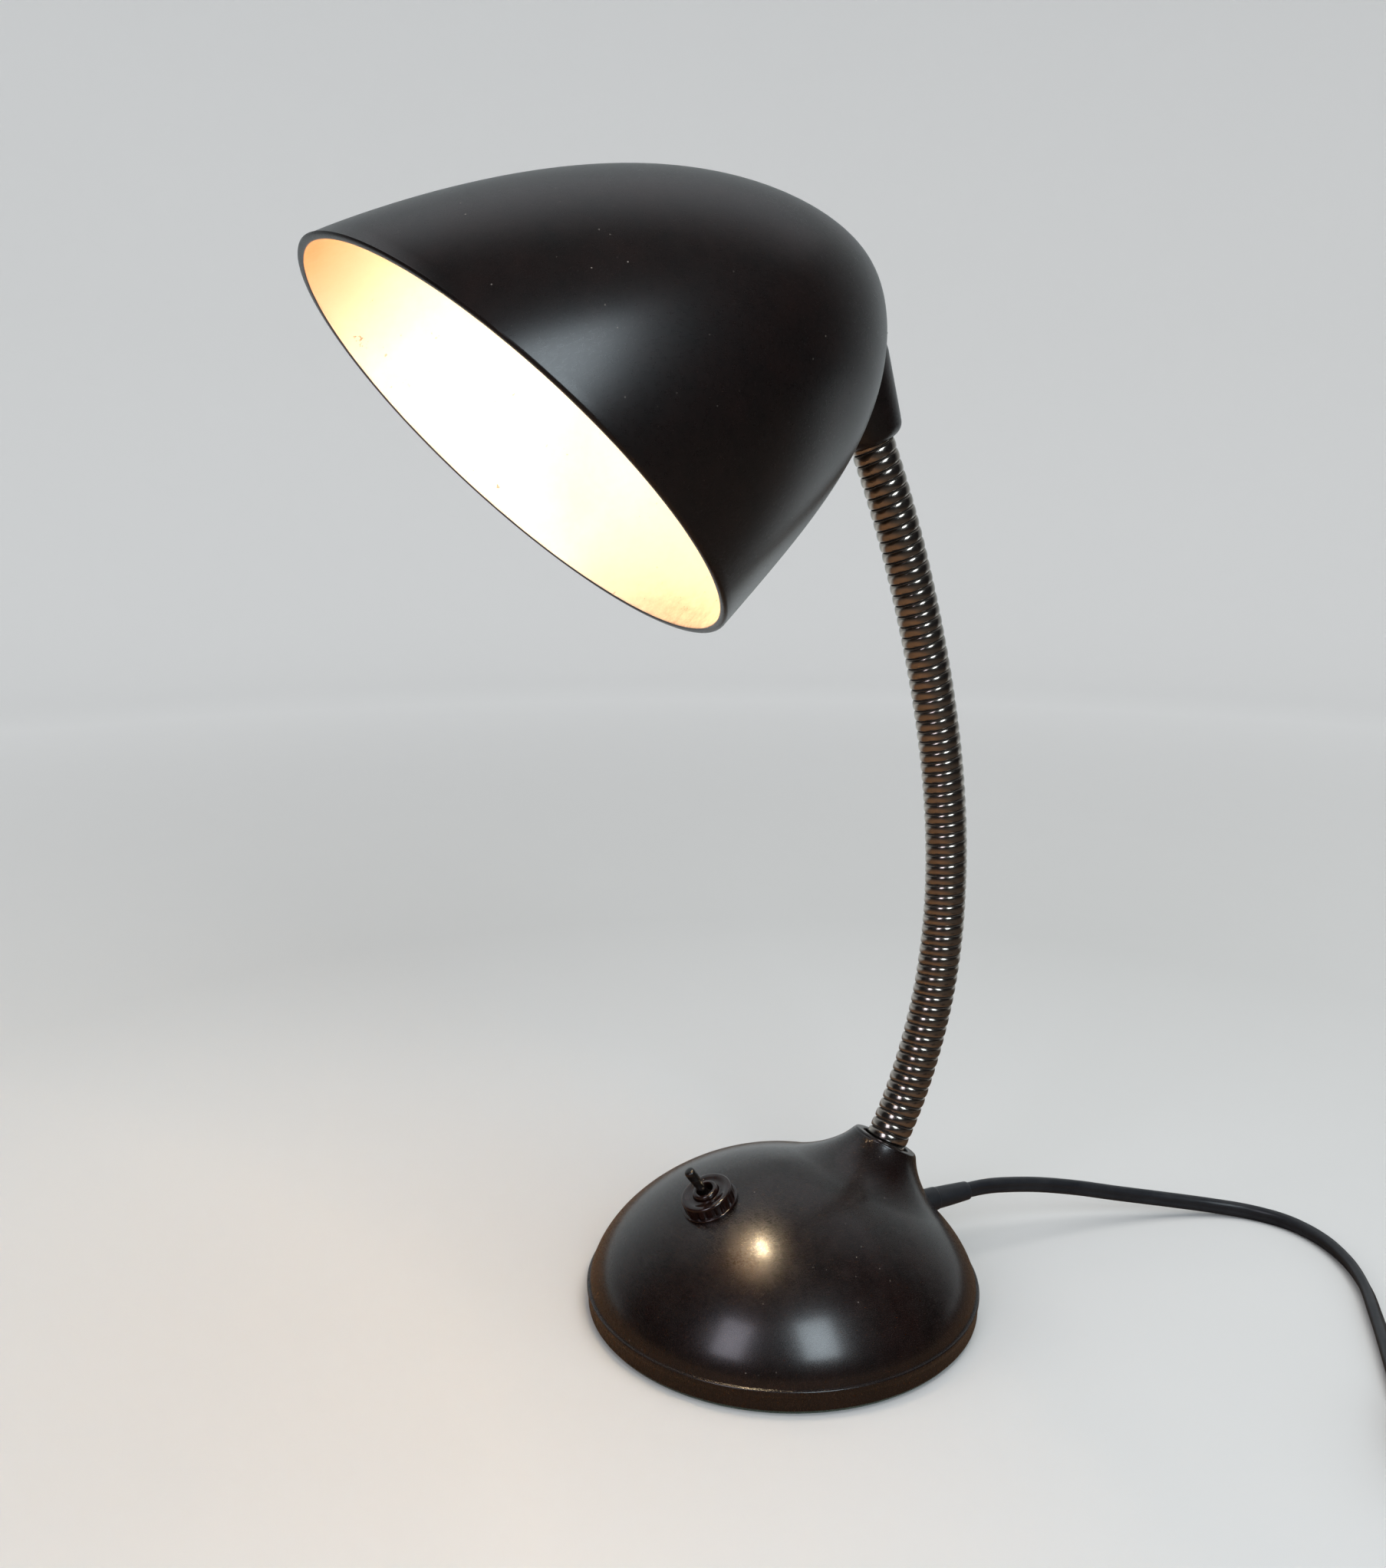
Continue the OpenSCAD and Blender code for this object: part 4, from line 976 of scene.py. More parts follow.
@dataclass
class Studio:
    """The camera of the photograph's view, a pale sweep and soft lights."""

    eye: Triple = (0.44353, -0.24848, 0.30644)
    heading: tuple[float, float] = (-0.9033, 0.4289)
    pitch: float = -11.61
    lens: float = 33.105
    floor_reach: float = 2.4
    air: float = 0.45
    air_in_shine: tuple[float, float] = (0.03, 0.5)
    bulb_power: float = 16.5
    bulb_colour: Colour = (1.0, 0.74, 0.5)

    def make_camera(self) -> bpy.types.Object:
        """Makes the camera and sets it as the scene's.

        Returns:
            The camera.
        """
        data = bpy.data.cameras.new("camera")
        data.lens, data.sensor_width, data.sensor_fit = self.lens, 36.0, "AUTO"
        data.clip_start, data.clip_end = 0.01, 20.0
        camera = bpy.data.objects.new("camera", data)
        bpy.context.scene.collection.objects.link(camera)
        down = math.radians(self.pitch)
        look = Vector((self.heading[0] * math.cos(down), self.heading[1] * math.cos(down), math.sin(down)))
        camera.location = self.eye
        camera.rotation_mode = "QUATERNION"
        camera.rotation_quaternion = look.to_track_quat("-Z", "Y")
        bpy.context.scene.camera = camera
        return camera

    def make_floor(self, finish: bpy.types.Material) -> bpy.types.Object:
        """Makes a round floor that rises into a low backdrop all round, the same from every side.

        Args:
            finish: Its material.

        Returns:
            The floor.
        """
        reach = self.floor_reach * 1000
        profile = [(0.001, -0.02), (reach * 0.3, -0.02), (reach * 0.6, -0.02)]
        profile += [(reach * 0.75 + reach * 0.25 * math.sin(a), reach * 0.25 * (1 - math.cos(a)) - 0.02)
                    for a in np.linspace(0.0, math.pi / 2, 16)]
        profile.append((reach, reach * 1.1))
        maker = MeshMaker()
        maker.tube(turned(profile, 96), start=False, end=False)
        floor = maker.build("studio_sweep", 80)
        floor.data.materials.append(finish)
        return floor

    def add_area(self, name: str, at: Triple, size: tuple[float, float], power: float, colour: Colour,
                 shine: bool = False, aim: Triple = (0.0, 0.0, 0.2)) -> None:
        """Adds a soft rectangular light.

        Args:
            name: Its name.
            at: Its place in metres.
            size: Its width and height in metres.
            power: Its power in watts.
            colour: Its colour.
            shine: Whether polished pieces mirror it.
            aim: The point it faces.
        """
        data = bpy.data.lights.new(name, "AREA")
        data.shape, data.size, data.size_y = "RECTANGLE", size[0], size[1]
        data.energy, data.color = power, colour
        light = bpy.data.objects.new(name, data)
        light.visible_glossy = shine
        light.location = at
        light.rotation_mode = "QUATERNION"
        light.rotation_quaternion = (Vector(aim) - Vector(at)).to_track_quat("-Z", "Y")
        bpy.context.scene.collection.objects.link(light)

    def make_lights(self) -> None:
        """Lights the scene softly from all round, with two windows that polished pieces mirror."""
        world = bpy.data.worlds.new("studio_air")
        world.use_nodes = True
        background = next(n for n in world.node_tree.nodes if n.type == "BACKGROUND")
        background.inputs["Color"].default_value = (0.9, 0.95, 1.0, 1.0)
        graph = Graph(world.node_tree)
        shine = graph.node("ShaderNodeLightPath").outputs["Is Glossy Ray"]
        way = graph.node("ShaderNodeTexCoord").outputs["Generated"]
        away = graph.node("ShaderNodeVectorMath", {0: way, 1: FAR_WAY}, operation="DOT_PRODUCT").outputs["Value"]
        mirrored = graph.span(away, 0.05, 0.42, *self.air_in_shine)
        strength = graph.node("ShaderNodeMix", {0: shine, 2: self.air, 3: mirrored}).outputs[0]
        graph.tree.links.new(strength, background.inputs["Strength"])
        bpy.context.scene.world = world
        self.add_area("top_soft", (0.1, 0.25, 1.5), (1.1, 1.1), 13.0, (1.0, 0.99, 0.97))
        self.add_area("key_left", (-0.35, -1.35, 0.95), (0.7, 0.9), 5.0, (1.0, 0.96, 0.9))
        self.add_area("fill_right", (1.35, 0.65, 0.75), (0.8, 1.0), 5.0, (0.86, 0.93, 1.0))
        self.add_area("window_left", (0.638, -1.09, 0.88), (0.42, 0.8), 3.6, (0.9, 0.87, 1.0), True)
        self.add_area("window_right", (1.18, -0.11, 0.96), (0.46, 0.78), 7.0, (0.8, 0.92, 1.0), True)

    def add_bulb_light(self, at: Points, radius: float) -> None:
        """Adds the bulb's own light, as a ball of light just round its glass, which moves with the shade.

        Args:
            at: Middle of the glass, in millimetres.
            radius: Radius of the ball of light, in millimetres.
        """
        data = bpy.data.lights.new("bulb_light", "POINT")
        data.energy, data.color, data.shadow_soft_size = self.bulb_power, self.bulb_colour, radius * MM
        light = bpy.data.objects.new("bulb_light", data)
        light.location = Vector(at * MM)
        light.visible_camera = False
        bpy.context.scene.collection.objects.link(light)
        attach(light, Body.SHADE.value)

    @staticmethod
    def set_view() -> None:
        """Shows colours as they are."""
        bpy.context.scene.view_settings.view_transform = "Standard"


# ---- Lead ---------------------------------------------------------------------------------------


def smooth_route(points: Sequence[Sequence[float]], steps: int) -> Points:
    """A smooth curve through points.

    Args:
        points: The points.
        steps: Spans between each two.

    Returns:
        The curve's points.
    """
    p = np.asarray(points, float)
    made = []
    for i in range(len(p) - 1):
        a, b, c, d = p[max(i - 1, 0)], p[i], p[i + 1], p[min(i + 2, len(p) - 1)]
        for s in range(steps):
            t = s / steps
            made.append(0.5 * (2 * b + (c - a) * t + (2 * a - 5 * b + 4 * c - d) * t ** 2
                               + (3 * b - a - 3 * c + d) * t ** 3))
    return np.array(made + [p[-1]])


@dataclass
class Lead:
    """Two-core mains lead: strain relief, free run, coil, tail and a flat plug."""

    diameter: float = 6.6
    exit_z: float = 25.0
    dome_exit_y: float = 66.1001
    relief_end: float = 86.1001
    relief_r: float = 4.6
    core_r: float = 2.1
    core_apart: float = 1.1
    run: tuple = ((0, 84, 25.0), (0, 94, 24.8), (1, 104, 24), (3, 120, 21.5), (6, 138, 17.5), (10, 157, 12.6),
                  (16, 178, 8), (24, 197, 4.6), (34, 210, 3.3), (48, 217.5, 3.3), (64, 218.5, 3.3),
                  (81, 213.5, 3.3), (97, 204, 3.3), (111, 192.5, 3.3), (126, 179.5, 3.3), (145, 162.5, 3.3),
                  (166, 144, 3.3))
    heading: float = -42.0
    turns: float = 2.75
    inner_r: float = 27.5
    pitch: float = 7.1
    tail_l: float = 110.0
    plug_t: float = 13.6
    around: int = 20
    _path: Points = field(default_factory=lambda: np.zeros((0, 3)))
    _end: Placement = field(default_factory=lambda: Placement((0.0, 0.0, 0.0)))

    @staticmethod
    def _climb(share: Points) -> Points:
        """A gentle step from 0 to 1."""
        return (1 - np.cos(math.pi * np.clip(share, 0, 1))) / 2

    def coil_points(self) -> tuple[Points, Points]:
        """The coil: inwards on the table, up in half a turn, outwards on top.

        Returns:
            Its points, and the direction that it ends in.
        """
        outer = self.inner_r + self.pitch * self.turns
        start = math.radians(self.heading - 90)
        way = np.array([math.cos(start + math.pi / 2), math.sin(start + math.pi / 2), 0.0])
        across = np.array([-way[1], way[0], 0.0])
        middle = np.array([166.0, 144.0, 0.0]) + self.diameter * way + outer * across
        w = np.linspace(0, 2 * self.turns + 0.5, 289)
        r = np.where(w < self.turns, outer - self.pitch * w,
                     np.where(w < self.turns + 0.5,
                              self.inner_r - 1.3 * np.sin(2 * math.pi * (w - self.turns)),
                              self.inner_r + self.pitch * (w - self.turns - 0.5)))
        a = start + 2 * math.pi * w
        z = self.diameter / 2 + self.pitch * self._climb((w - self.turns) / 0.5)
        wound = middle + np.stack([r * np.cos(a), r * np.sin(a), z], axis=1)
        away = np.array([-math.sin(a[-1]), math.cos(a[-1]), 0.0])
        return np.concatenate([wound, [wound[-1] + self.diameter * away]]), away

    def tail_points(self, start: Points, away: Points) -> tuple[Points, Points]:
        """The tail: off the coil in a wide arc, down to the table and up into the plug.

        Args:
            start: Where it leaves the coil.
            away: Its direction there.

        Returns:
            Its points, and the direction that it ends in.
        """
        radius = 2 * (self.inner_r + self.pitch * self.turns)
        inward = np.array([-away[1], away[0], 0.0])
        l = np.linspace(0, self.tail_l, 67)[1:]
        a = l / radius
        fall = self.pitch * self._climb((l - 18) / 48)
        rise = (self.plug_t / 2 - self.diameter / 2) * self._climb((l - 66) / (self.tail_l - 66))
        flat = start + radius * (np.outer(np.sin(a), away) + np.outer(1 - np.cos(a), inward))
        flat[:, 2] += rise - fall
        return flat, math.cos(a[-1]) * away + math.sin(a[-1]) * inward

    def make_lead(self, finish: bpy.types.Material) -> bpy.types.Object:
        """Sweeps the two-core section along the whole route.

        Args:
            finish: Its material.

        Returns:
            The lead.
        """
        coil, away = self.coil_points()
        tail, last = self.tail_points(coil[-1], away)
        path = np.concatenate([smooth_route(self.run, 7), coil, tail])
        self._path = path
        self._end = Placement(tuple(path[-1]), tuple(last), (-last[1], last[0], 0.0), (0.0, 0.0, 1.0))
        tangent = np.gradient(path, axis=0)
        tangent /= np.linalg.norm(tangent, axis=1)[:, None]
        side = np.cross(tangent, (0.0, 0.0, 1.0))
        side /= np.linalg.norm(side, axis=1)[:, None]
        up = np.cross(side, tangent)
        length = np.concatenate([[0], np.cumsum(np.linalg.norm(np.diff(path, axis=0), axis=1))])
        lean = np.radians(90 - 48 * self._climb((length - 110) / 160))
        a = 2 * math.pi * np.arange(self.around) / self.around
        reach = self.core_apart * np.abs(np.sin(a)) + np.sqrt(self.core_r ** 2
                                                            - (self.core_apart * np.cos(a)) ** 2)
        turn = a[None, :] + (lean - math.pi / 2)[:, None]
        rings = (path[:, None, :] + (reach * np.cos(turn))[..., None] * side[:, None, :]
                 + (reach * np.sin(turn))[..., None] * up[:, None, :])
        maker = MeshMaker()
        maker.tube(rings)
        lead = maker.build("mains_lead", 60)
        lead.data.materials.append(finish)
        rode(lead, Body.BASE, Slot.CORD, "cord_run", "cord_coil", "cord_tail")
        LOG.info("lead is %.0f mm long", length[-1])
        return lead

    def make_relief(self, finish: bpy.types.Material) -> bpy.types.Object:
        """Makes the smooth tapered strain relief at the base.

        Args:
            finish: Its material.

        Returns:
            The strain relief.
        """
        at = Placement((0.0, self.dome_exit_y, self.exit_z), (1.0, 0.0, 0.0), (0.0, 0.0, -1.0), (0.0, 1.0, 0.0))
        long = self.relief_end - self.dome_exit_y
        r = self.relief_r
        profile = [(6.0, -11.8), (6.0, -9.9), (r, -9.8), (r, 1.0), (r, 3.4)] + corner(r - 0.35, 4.2, 0.35, 0, 70)
        profile += [(r - 0.28, 4.7), (r - 0.3, 6.0), (r - 0.42, 10.0), (r - 0.6, 14.0), (r - 0.8, long - 2.0)]
        profile += corner(r - 1.4, long - 0.55, 0.55, 15, 90)
        maker = MeshMaker()
        maker.tube(at.place(turned(profile, 40)))
        relief = maker.build("cord_strain_relief", 35)
        relief.data.materials.append(finish)
        return rode(relief, Body.BASE, Slot.CORD, "cord_relief")

    def make_plug(self, finish: bpy.types.Material) -> bpy.types.Object:
        """Makes the flat two-pin plug, with its own ribbed neck.

        Args:
            finish: Its material.

        Returns:
            The plug.
        """
        half = self.plug_t / 2
        sections = [(0.0, 3.4, 3.4, 2.0), (0.4, 3.9, 3.9, 2.0), (2.6, 4.0, 4.0, 2.0), (3.0, 3.6, 3.6, 2.0),
                    (4.2, 3.6, 3.6, 2.0), (4.6, 4.4, 4.3, 2.0), (6.8, 4.5, 4.4, 2.0), (7.2, 4.0, 3.9, 2.0),
                    (8.4, 4.1, 4.0, 2.0), (8.8, 5.0, 4.8, 2.0), (11.4, 5.2, 5.0, 2.0), (12.4, 6.0, 5.1, 2.2),
                    (14.2, 7.6, 5.4, 2.5), (17.0, 8.8, 5.9, 2.8), (20.0, 10.6, 6.4, 3.1), (23.5, 13.2, half, 3.4),
                    (27.0, 15.4, half, 3.7), (30.0, 16.3, half, 3.8), (33.5, 16.5, half, 3.8),
                    (35.5, 16.3, half, 3.8), (36.8, 15.7, half - 0.25, 3.7), (37.6, 15.0, half - 0.7, 3.6),
                    (38.0, 14.1, half - 1.4, 3.5)]
        a = 2 * math.pi * np.arange(64) / 64
        c, s = np.cos(a), np.sin(a)
        rings = []
        for x, wide, high, power in sections:
            y = wide * np.sign(c) * np.abs(c) ** (2 / power)
            z = high * np.sign(s) * np.abs(s) ** (2 / power)
            rings.append(np.stack([np.full(64, x), y, z], axis=1))
        maker = MeshMaker()
        maker.tube(self._end.place(np.array(rings)))
        plug = maker.build("plug_moulding", 35)
        plug.data.materials.append(finish)
        return rode(plug, Body.BASE, Slot.PLUG, "plug_body")

    def build(self, finishes: Finishes) -> None:
        """Args:
            finishes: The lamp's finishes.
        """
        lead = self.make_lead(finishes.sheath)
        relief = self.make_relief(finishes.sheath)
        plug = self.make_plug(finishes.plug)


# ---- Base -----------------------------------------------------------------------------------------


@dataclass
class Base:
    """Moulded dome with its lip and spout."""

    lip_r: float = 75.0
    lip_h: float = 9.5
    seam_z: float = 8.5
    dome_r: float = 74.0
    dome_h: float = 48.3
    power: float = 1.65
    wall: float = 3.0
    felt_t: float = 1.5
    spout_y: float = 46.1
    spout_rise: float = 13.7
    spout_lean: float = 29.0
    spout_r: float = 13.0
    spout_growth: float = 0.3
    spout_bore_r: float = 9.5
    bore_depth: float = 13.0
    fillet: float = 14.0
    around: int = 160
    rows: int = 110

    def height(self, r: Points, inset: float = 0.0) -> Points:
        """Height of the dome at a radius.

        Args:
            r: The radius.
            inset: How far inside the outer skin.

        Returns:
            The height.
        """
        rim, top = self.dome_r - inset, self.dome_h - inset
        share = np.maximum(1 - (np.asarray(r, float) / rim) ** self.power, 0)
        return self.seam_z + top * share ** (1 / self.power)

    def radius(self, z: float) -> float:
        """Radius of the dome at a height.

        Args:
            z: The height.

        Returns:
            The radius.
        """
        return self.dome_r * (1 - ((z - self.seam_z) / self.dome_h) ** self.power) ** (1 / self.power)

    def spout(self) -> Placement:
        """Axes at the spout's mouth.

        Returns:
            The placement, with +Z out of the mouth.
        """
        return Placement.leaning((0.0, self.spout_y, float(self.height(self.spout_y)) + self.spout_rise),
                                 self.spout_lean)

    def _dome(self, points: Points) -> Points:
        """Field of the dome."""
        r = np.hypot(points[..., 0], points[..., 1]) / self.dome_r
        z = np.maximum(points[..., 2] - self.seam_z, 0) / self.dome_h
        return (r ** self.power + z ** self.power) ** (1 / self.power) - 1

    def _spout(self, points: Points) -> Points:
        """Field of the spout, which widens a little downwards."""
        local = self.spout().local(points)
        radius = self.spout_r + np.maximum(-local[..., 2] - 0.6, 0) * self.spout_growth
        return (np.hypot(local[..., 0], local[..., 1]) - radius) * 0.993

    def make_shell(self, finish: bpy.types.Material) -> bpy.types.Object:
        """Makes the whole moulding: bore, spout, dome, lip, underside and hollow.

        Args:
            finish: Its material.

        Returns:
            The moulding.
        """
        at = self.spout()
        bore = [(self.spout_bore_r - 0.5, -self.bore_depth), (self.spout_bore_r, -self.bore_depth + 0.5),
                (self.spout_bore_r, -6.0), (self.spout_bore_r, -1.0)]
        bore += corner(self.spout_bore_r + 0.5, -0.5, 0.5, 180, 90)
        bore += [(self.spout_r - 1.9, 0.0)] + corner(self.spout_r - 0.9, -0.9, 0.9, 90, 20)
        spout_rings = at.place(turned(bore, self.around))
        mouth = at.place(circle(self.spout_r, -0.9, self.around))
        start_z = self.lip_h + 0.35
        rim = circle(self.radius(start_z), start_z, self.around)
        skin = SkinBetween(RoundedUnion(true_distance(self._dome), self._spout, self.fillet),
                           (0.0, 20.9, 10.0), (0.0, 0.0, -1.0), self.rows).rings(mouth, rim)
        foot = [(self.dome_r - 0.02, self.lip_h + 0.02), (self.dome_r + 0.12, self.lip_h - 0.05),
                (self.dome_r + 0.36, self.lip_h + 0.02)]
        foot += corner(self.lip_r - 0.55, self.lip_h - 0.55, 0.55, 80, -20)
        foot += [(self.lip_r - 0.02, self.lip_h - 1.5), (self.lip_r - 0.16, self.lip_h - 2.1),
                 (self.lip_r - 0.42, self.lip_h - 2.7), (self.lip_r - 0.5, self.lip_h - 3.4),
                 (self.lip_r - 0.5, self.felt_t + 1.2)]
        foot += corner(self.lip_r - 1.3, self.felt_t + 0.8, 0.8, 0, -90)
        foot += [(70.3, self.felt_t), (70.2, self.felt_t + 0.1), (70.2, 3.1), (70.0, 3.2), (69.2, 3.2)]
        hollow = [(r, float(self.height(r, self.wall))) for r in
                  (70.99 * np.sin(np.linspace(math.pi / 2 * 0.93, 0.05, 26)))]
        rest = turned(foot + [(69.0, 3.4), (69.6, 6.0)] + hollow, self.around)
        maker = MeshMaker()
        maker.tube(np.concatenate([spout_rings, skin, rest]))
        shell = maker.build("base_moulding", 40)
        shell.data.materials.append(finish)
        return rode(shell, Body.BASE, Slot.BAKELITE, "base_shell")


# ---- Neck -----------------------------------------------------------------------------------------


@dataclass
class Neck:
    """Ribbed gooseneck hose of wound steel strip, curved in smooth arcs at its bends."""

    start: Placement
    turns: tuple[float, ...] = (9, 6, 7, 6, 5, 4.5, 3.5, 3, 2.5, 3, 3.5)
    first_lean: float = 29.0
    stretch_l: float = 25.2
    end_l: float = 12.0
    inside: float = 10.0
    crest_r: float = 8.0
    pitch: float = 4.1
    bore_r: float = 3.5
    around: int = 56
    from_above: int = 5
    rib: tuple = ((0.0, 7.02), (0.05, 7.05), (0.07, 7.45), (0.1, 7.68), (0.16, 7.83), (0.25, 7.93), (0.38, 7.99),
                  (0.5, 8.0), (0.64, 7.97), (0.78, 7.88), (0.88, 7.74), (0.935, 7.58), (0.955, 7.3), (0.97, 7.05))

    def __post_init__(self) -> None:
        """Works out the centreline: arcs round the bends, straight between and at the ends."""
        step = 0.02
        self.middles: list[float] = []
        spans: list[tuple[float, float]] = [(self.inside, 0.0)]
        for i, turn in enumerate(self.turns):
            arc = self.end_l / math.tan(math.radians(turn) / 2) * math.radians(turn)
            spans += [(arc, turn), (self.stretch_l - 2 * self.end_l, 0.0)]
        spans[-1] = (self.inside, 0.0)
        angle, length = self.first_lean, -self.inside
        marks, angles = [length], [angle]
        for i, (span, turn) in enumerate(spans):
            if turn == 0.0 and 0 < i < len(spans) - 1:
                self.middles.append(length + span / 2)
            length += span
            angle -= turn
            marks.append(length)
            angles.append(angle)
        self.total = length - self.inside
        self.grid = np.arange(-self.inside, length + step, step)
        self.leans = np.radians(np.interp(self.grid, marks, angles))
        half = (self.leans[1:] + self.leans[:-1]) / 2
        y = np.concatenate([[0], np.cumsum(np.sin(half) * step)])
        z = np.concatenate([[0], np.cumsum(np.cos(half) * step)])
        zero = np.interp(0.0, self.grid, np.arange(len(self.grid)))
        y -= np.interp(zero, np.arange(len(y)), y)
        z -= np.interp(zero, np.arange(len(z)), z)
        self.y, self.z = y + self.start.origin[1], z + self.start.origin[2]

    def centre(self, l: Points) -> tuple[Points, Points, Points]:
        """The centreline and its cross axes.

        Args:
            l: Distance along it from the spout's mouth.

        Returns:
            Points, directions along, and directions to the outer side of the lean.
        """
        y, z, a = (np.interp(l, self.grid, v) for v in (self.y, self.z, self.leans))
        zero = np.zeros_like(a)
        return (np.stack([zero, y, z], axis=-1), np.stack([zero, np.sin(a), np.cos(a)], axis=-1),
                np.stack([zero, np.cos(a), -np.sin(a)], axis=-1))

    def depth(self, l: Points, angle: Points) -> Points:
        """Radius of the hose at a place on it.

        Args:
            l: Distance along the centreline.
            angle: Angle round it.

        Returns:
            The radius, lower in the groove that winds round.
        """
        u = np.mod(l / self.pitch - angle / (2 * math.pi), 1.0)
        knots = np.array([k[0] for k in self.rib] + [1.0])
        radii = np.array([k[1] for k in self.rib] + [self.rib[0][1]])
        return np.interp(u, knots, radii)

    def skin(self, l: Points, angle: Points, radius: Optional[Points] = None) -> Points:
        """Points on the hose.

        Args:
            l: Distances along the centreline.
            angle: Angles round it.
            radius: Radii, or None for the ribbed skin's own.

        Returns:
            The points.
        """
        middle, _, out = self.centre(l)
        r = self.depth(l, angle) if radius is None else radius
        across = np.zeros_like(middle)
        across[..., 0] = 1.0
        return middle + (r * np.cos(angle))[..., None] * across + (r * np.sin(angle))[..., None] * out

    def make_piece(self, number: int, low: float, high: float, finish: bpy.types.Material) -> bpy.types.Object:
        """Makes the hose from one distance to another, with rows that follow the winding.

        Args:
            number: The piece's number, counted from the spout.
            low: Where it starts along the centreline.
            high: Where it ends.
            finish: Its material.

        Returns:
            The piece.
        """
        around = self.around
        angles = 2 * math.pi * np.arange(around) / around
        first = math.floor(low / self.pitch) - 1
        last = math.ceil(high / self.pitch)
        rows = [(k + u) * self.pitch for k in range(first, last + 1) for u, _ in self.rib]
        per_turn = len(self.rib)
        places: list[tuple[float, float]] = []
        known: dict[tuple, int] = {}

        def number_of(row: int, column: int) -> int:
            """Number of the point at a row and column, ends held."""
            if column == around:
                row, column = row + per_turn, 0
            l = rows[row] + self.pitch * column / around if row < len(rows) else high + 1
            key = ("low", column) if l <= low + 0.02 else ("high", column) if l >= high - 0.02 else (row, column)
            if key not in known:
                known[key] = len(places)
                places.append((min(max(l, low), high) if key[0] not in ("low", "high")
                               else (low if key[0] == "low" else high), angles[column]))
            return known[key]

        maker = MeshMaker()
        faces = []
        for row in range(len(rows) - 1):
            for column in range(around):
                face = (number_of(row, column), number_of(row, column + 1), number_of(row + 1, column + 1),
                        number_of(row + 1, column))
                if len(set(face)) >= 3:
                    faces.append(face)
        l, angle = np.array([p[0] for p in places]), np.array([p[1] for p in places])
        maker.add_points(self.skin(l, angle))
        for face in faces:
            maker.add_face(face)
        bore_l = np.linspace(low, high, 9)
        bore = [self.skin(np.full(around, b), angles, np.full(around, self.bore_r)) for b in bore_l]
        base = maker.add_points(np.array(bore))
        for i in range(8):
            for j in range(around):
                k = (j + 1) % around
                a = base + i * around
                maker.add_face((a + j, a + around + j, a + around + k, a + k))
        for j in range(around):
            k = (j + 1) % around
            maker.add_face((known[("low", j)], base + j, base + k, known[("low", k)]))
            top = base + 8 * around
            maker.add_face((known[("high", j)], known[("high", k)], top + k, top + j))
        piece = maker.build(f"neck_hose_skin_{number:02d}", 60)
        self._shade(piece.data, l, angle)
        piece.data.materials.append(finish)
        return piece

    def _shade(self, mesh: bpy.types.Mesh, l: Points, angle: Points) -> None:
        """Gives the ribbed skin its true normals, so that two pieces meet without a line."""
        small = 0.02
        along = self.skin(l + small, angle) - self.skin(l - small, angle)
        round_it = self.skin(l, angle + small / 8) - self.skin(l, angle - small / 8)
        normal = np.cross(round_it, along)
        normal /= np.linalg.norm(normal, axis=1)[:, None]
        count = len(mesh.vertices)
        skin = np.zeros((count, 3))
        skin[: len(l)] = normal
        corners = np.zeros(len(mesh.loops), np.int32)
        mesh.loops.foreach_get("vertex_index", corners)
        face_normals = np.zeros(len(mesh.polygons) * 3)
        mesh.polygons.foreach_get("normal", face_normals)
        face_normals = face_normals.reshape(-1, 3)
        sizes = np.zeros(len(mesh.polygons), np.int32)
        mesh.polygons.foreach_get("loop_total", sizes)
        face_of = np.repeat(np.arange(len(sizes)), sizes)
        outer = np.add.reduceat((corners < len(l)).astype(int), np.concatenate([[0], np.cumsum(sizes)[:-1]])) == sizes
        normals = np.where(outer[face_of][:, None], skin[corners], face_normals[face_of])
        mesh.normals_split_custom_set(normals.tolist())
        # Groove depth, which the hose finish uses to paint dirt and painted shade into the grooves.
        groove = np.zeros(count, np.float32)
        groove[: len(l)] = (self.crest_r - self.depth(l, angle)) / (self.crest_r - self.rib[0][1])
        attribute = mesh.attributes.new("groove", "FLOAT", "POINT")
        attribute.data.foreach_set("value", groove)

    def build(self, finish: bpy.types.Material) -> None:
        """Makes every piece in place and hides the CAD nodes that it stands for.

        Args:
            finish: The hose's material.
        """
        count = len(self.turns)
        cuts = [-self.inside, *self.middles, self.total + self.inside]
        for i in range(count):
            piece = self.make_piece(i + 1, cuts[i], cuts[i + 1], finish)
            start = self.centre(np.array(max(cuts[i], 0.0)))[0] * MM
            end = self.centre(np.array(min(cuts[i + 1], self.total)))[0] * MM
            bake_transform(piece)
            nodes = ["neck_hose_foot" if i == 0 else f"neck_hose_{i}"]
            if i == count - 1:
                nodes.append("neck_hose_tip")
            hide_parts(*nodes)

    def end(self) -> Placement:
        """Axes at the neck's upper end, at the socket's mouth.

        Returns:
            The placement, with +Z into the shade.
        """
        middle, _, _ = self.centre(np.array(self.total))
        return Placement.leaning(middle, self.first_lean - sum(self.turns))


# ---- Shade ----------------------------------------------------------------------------------------


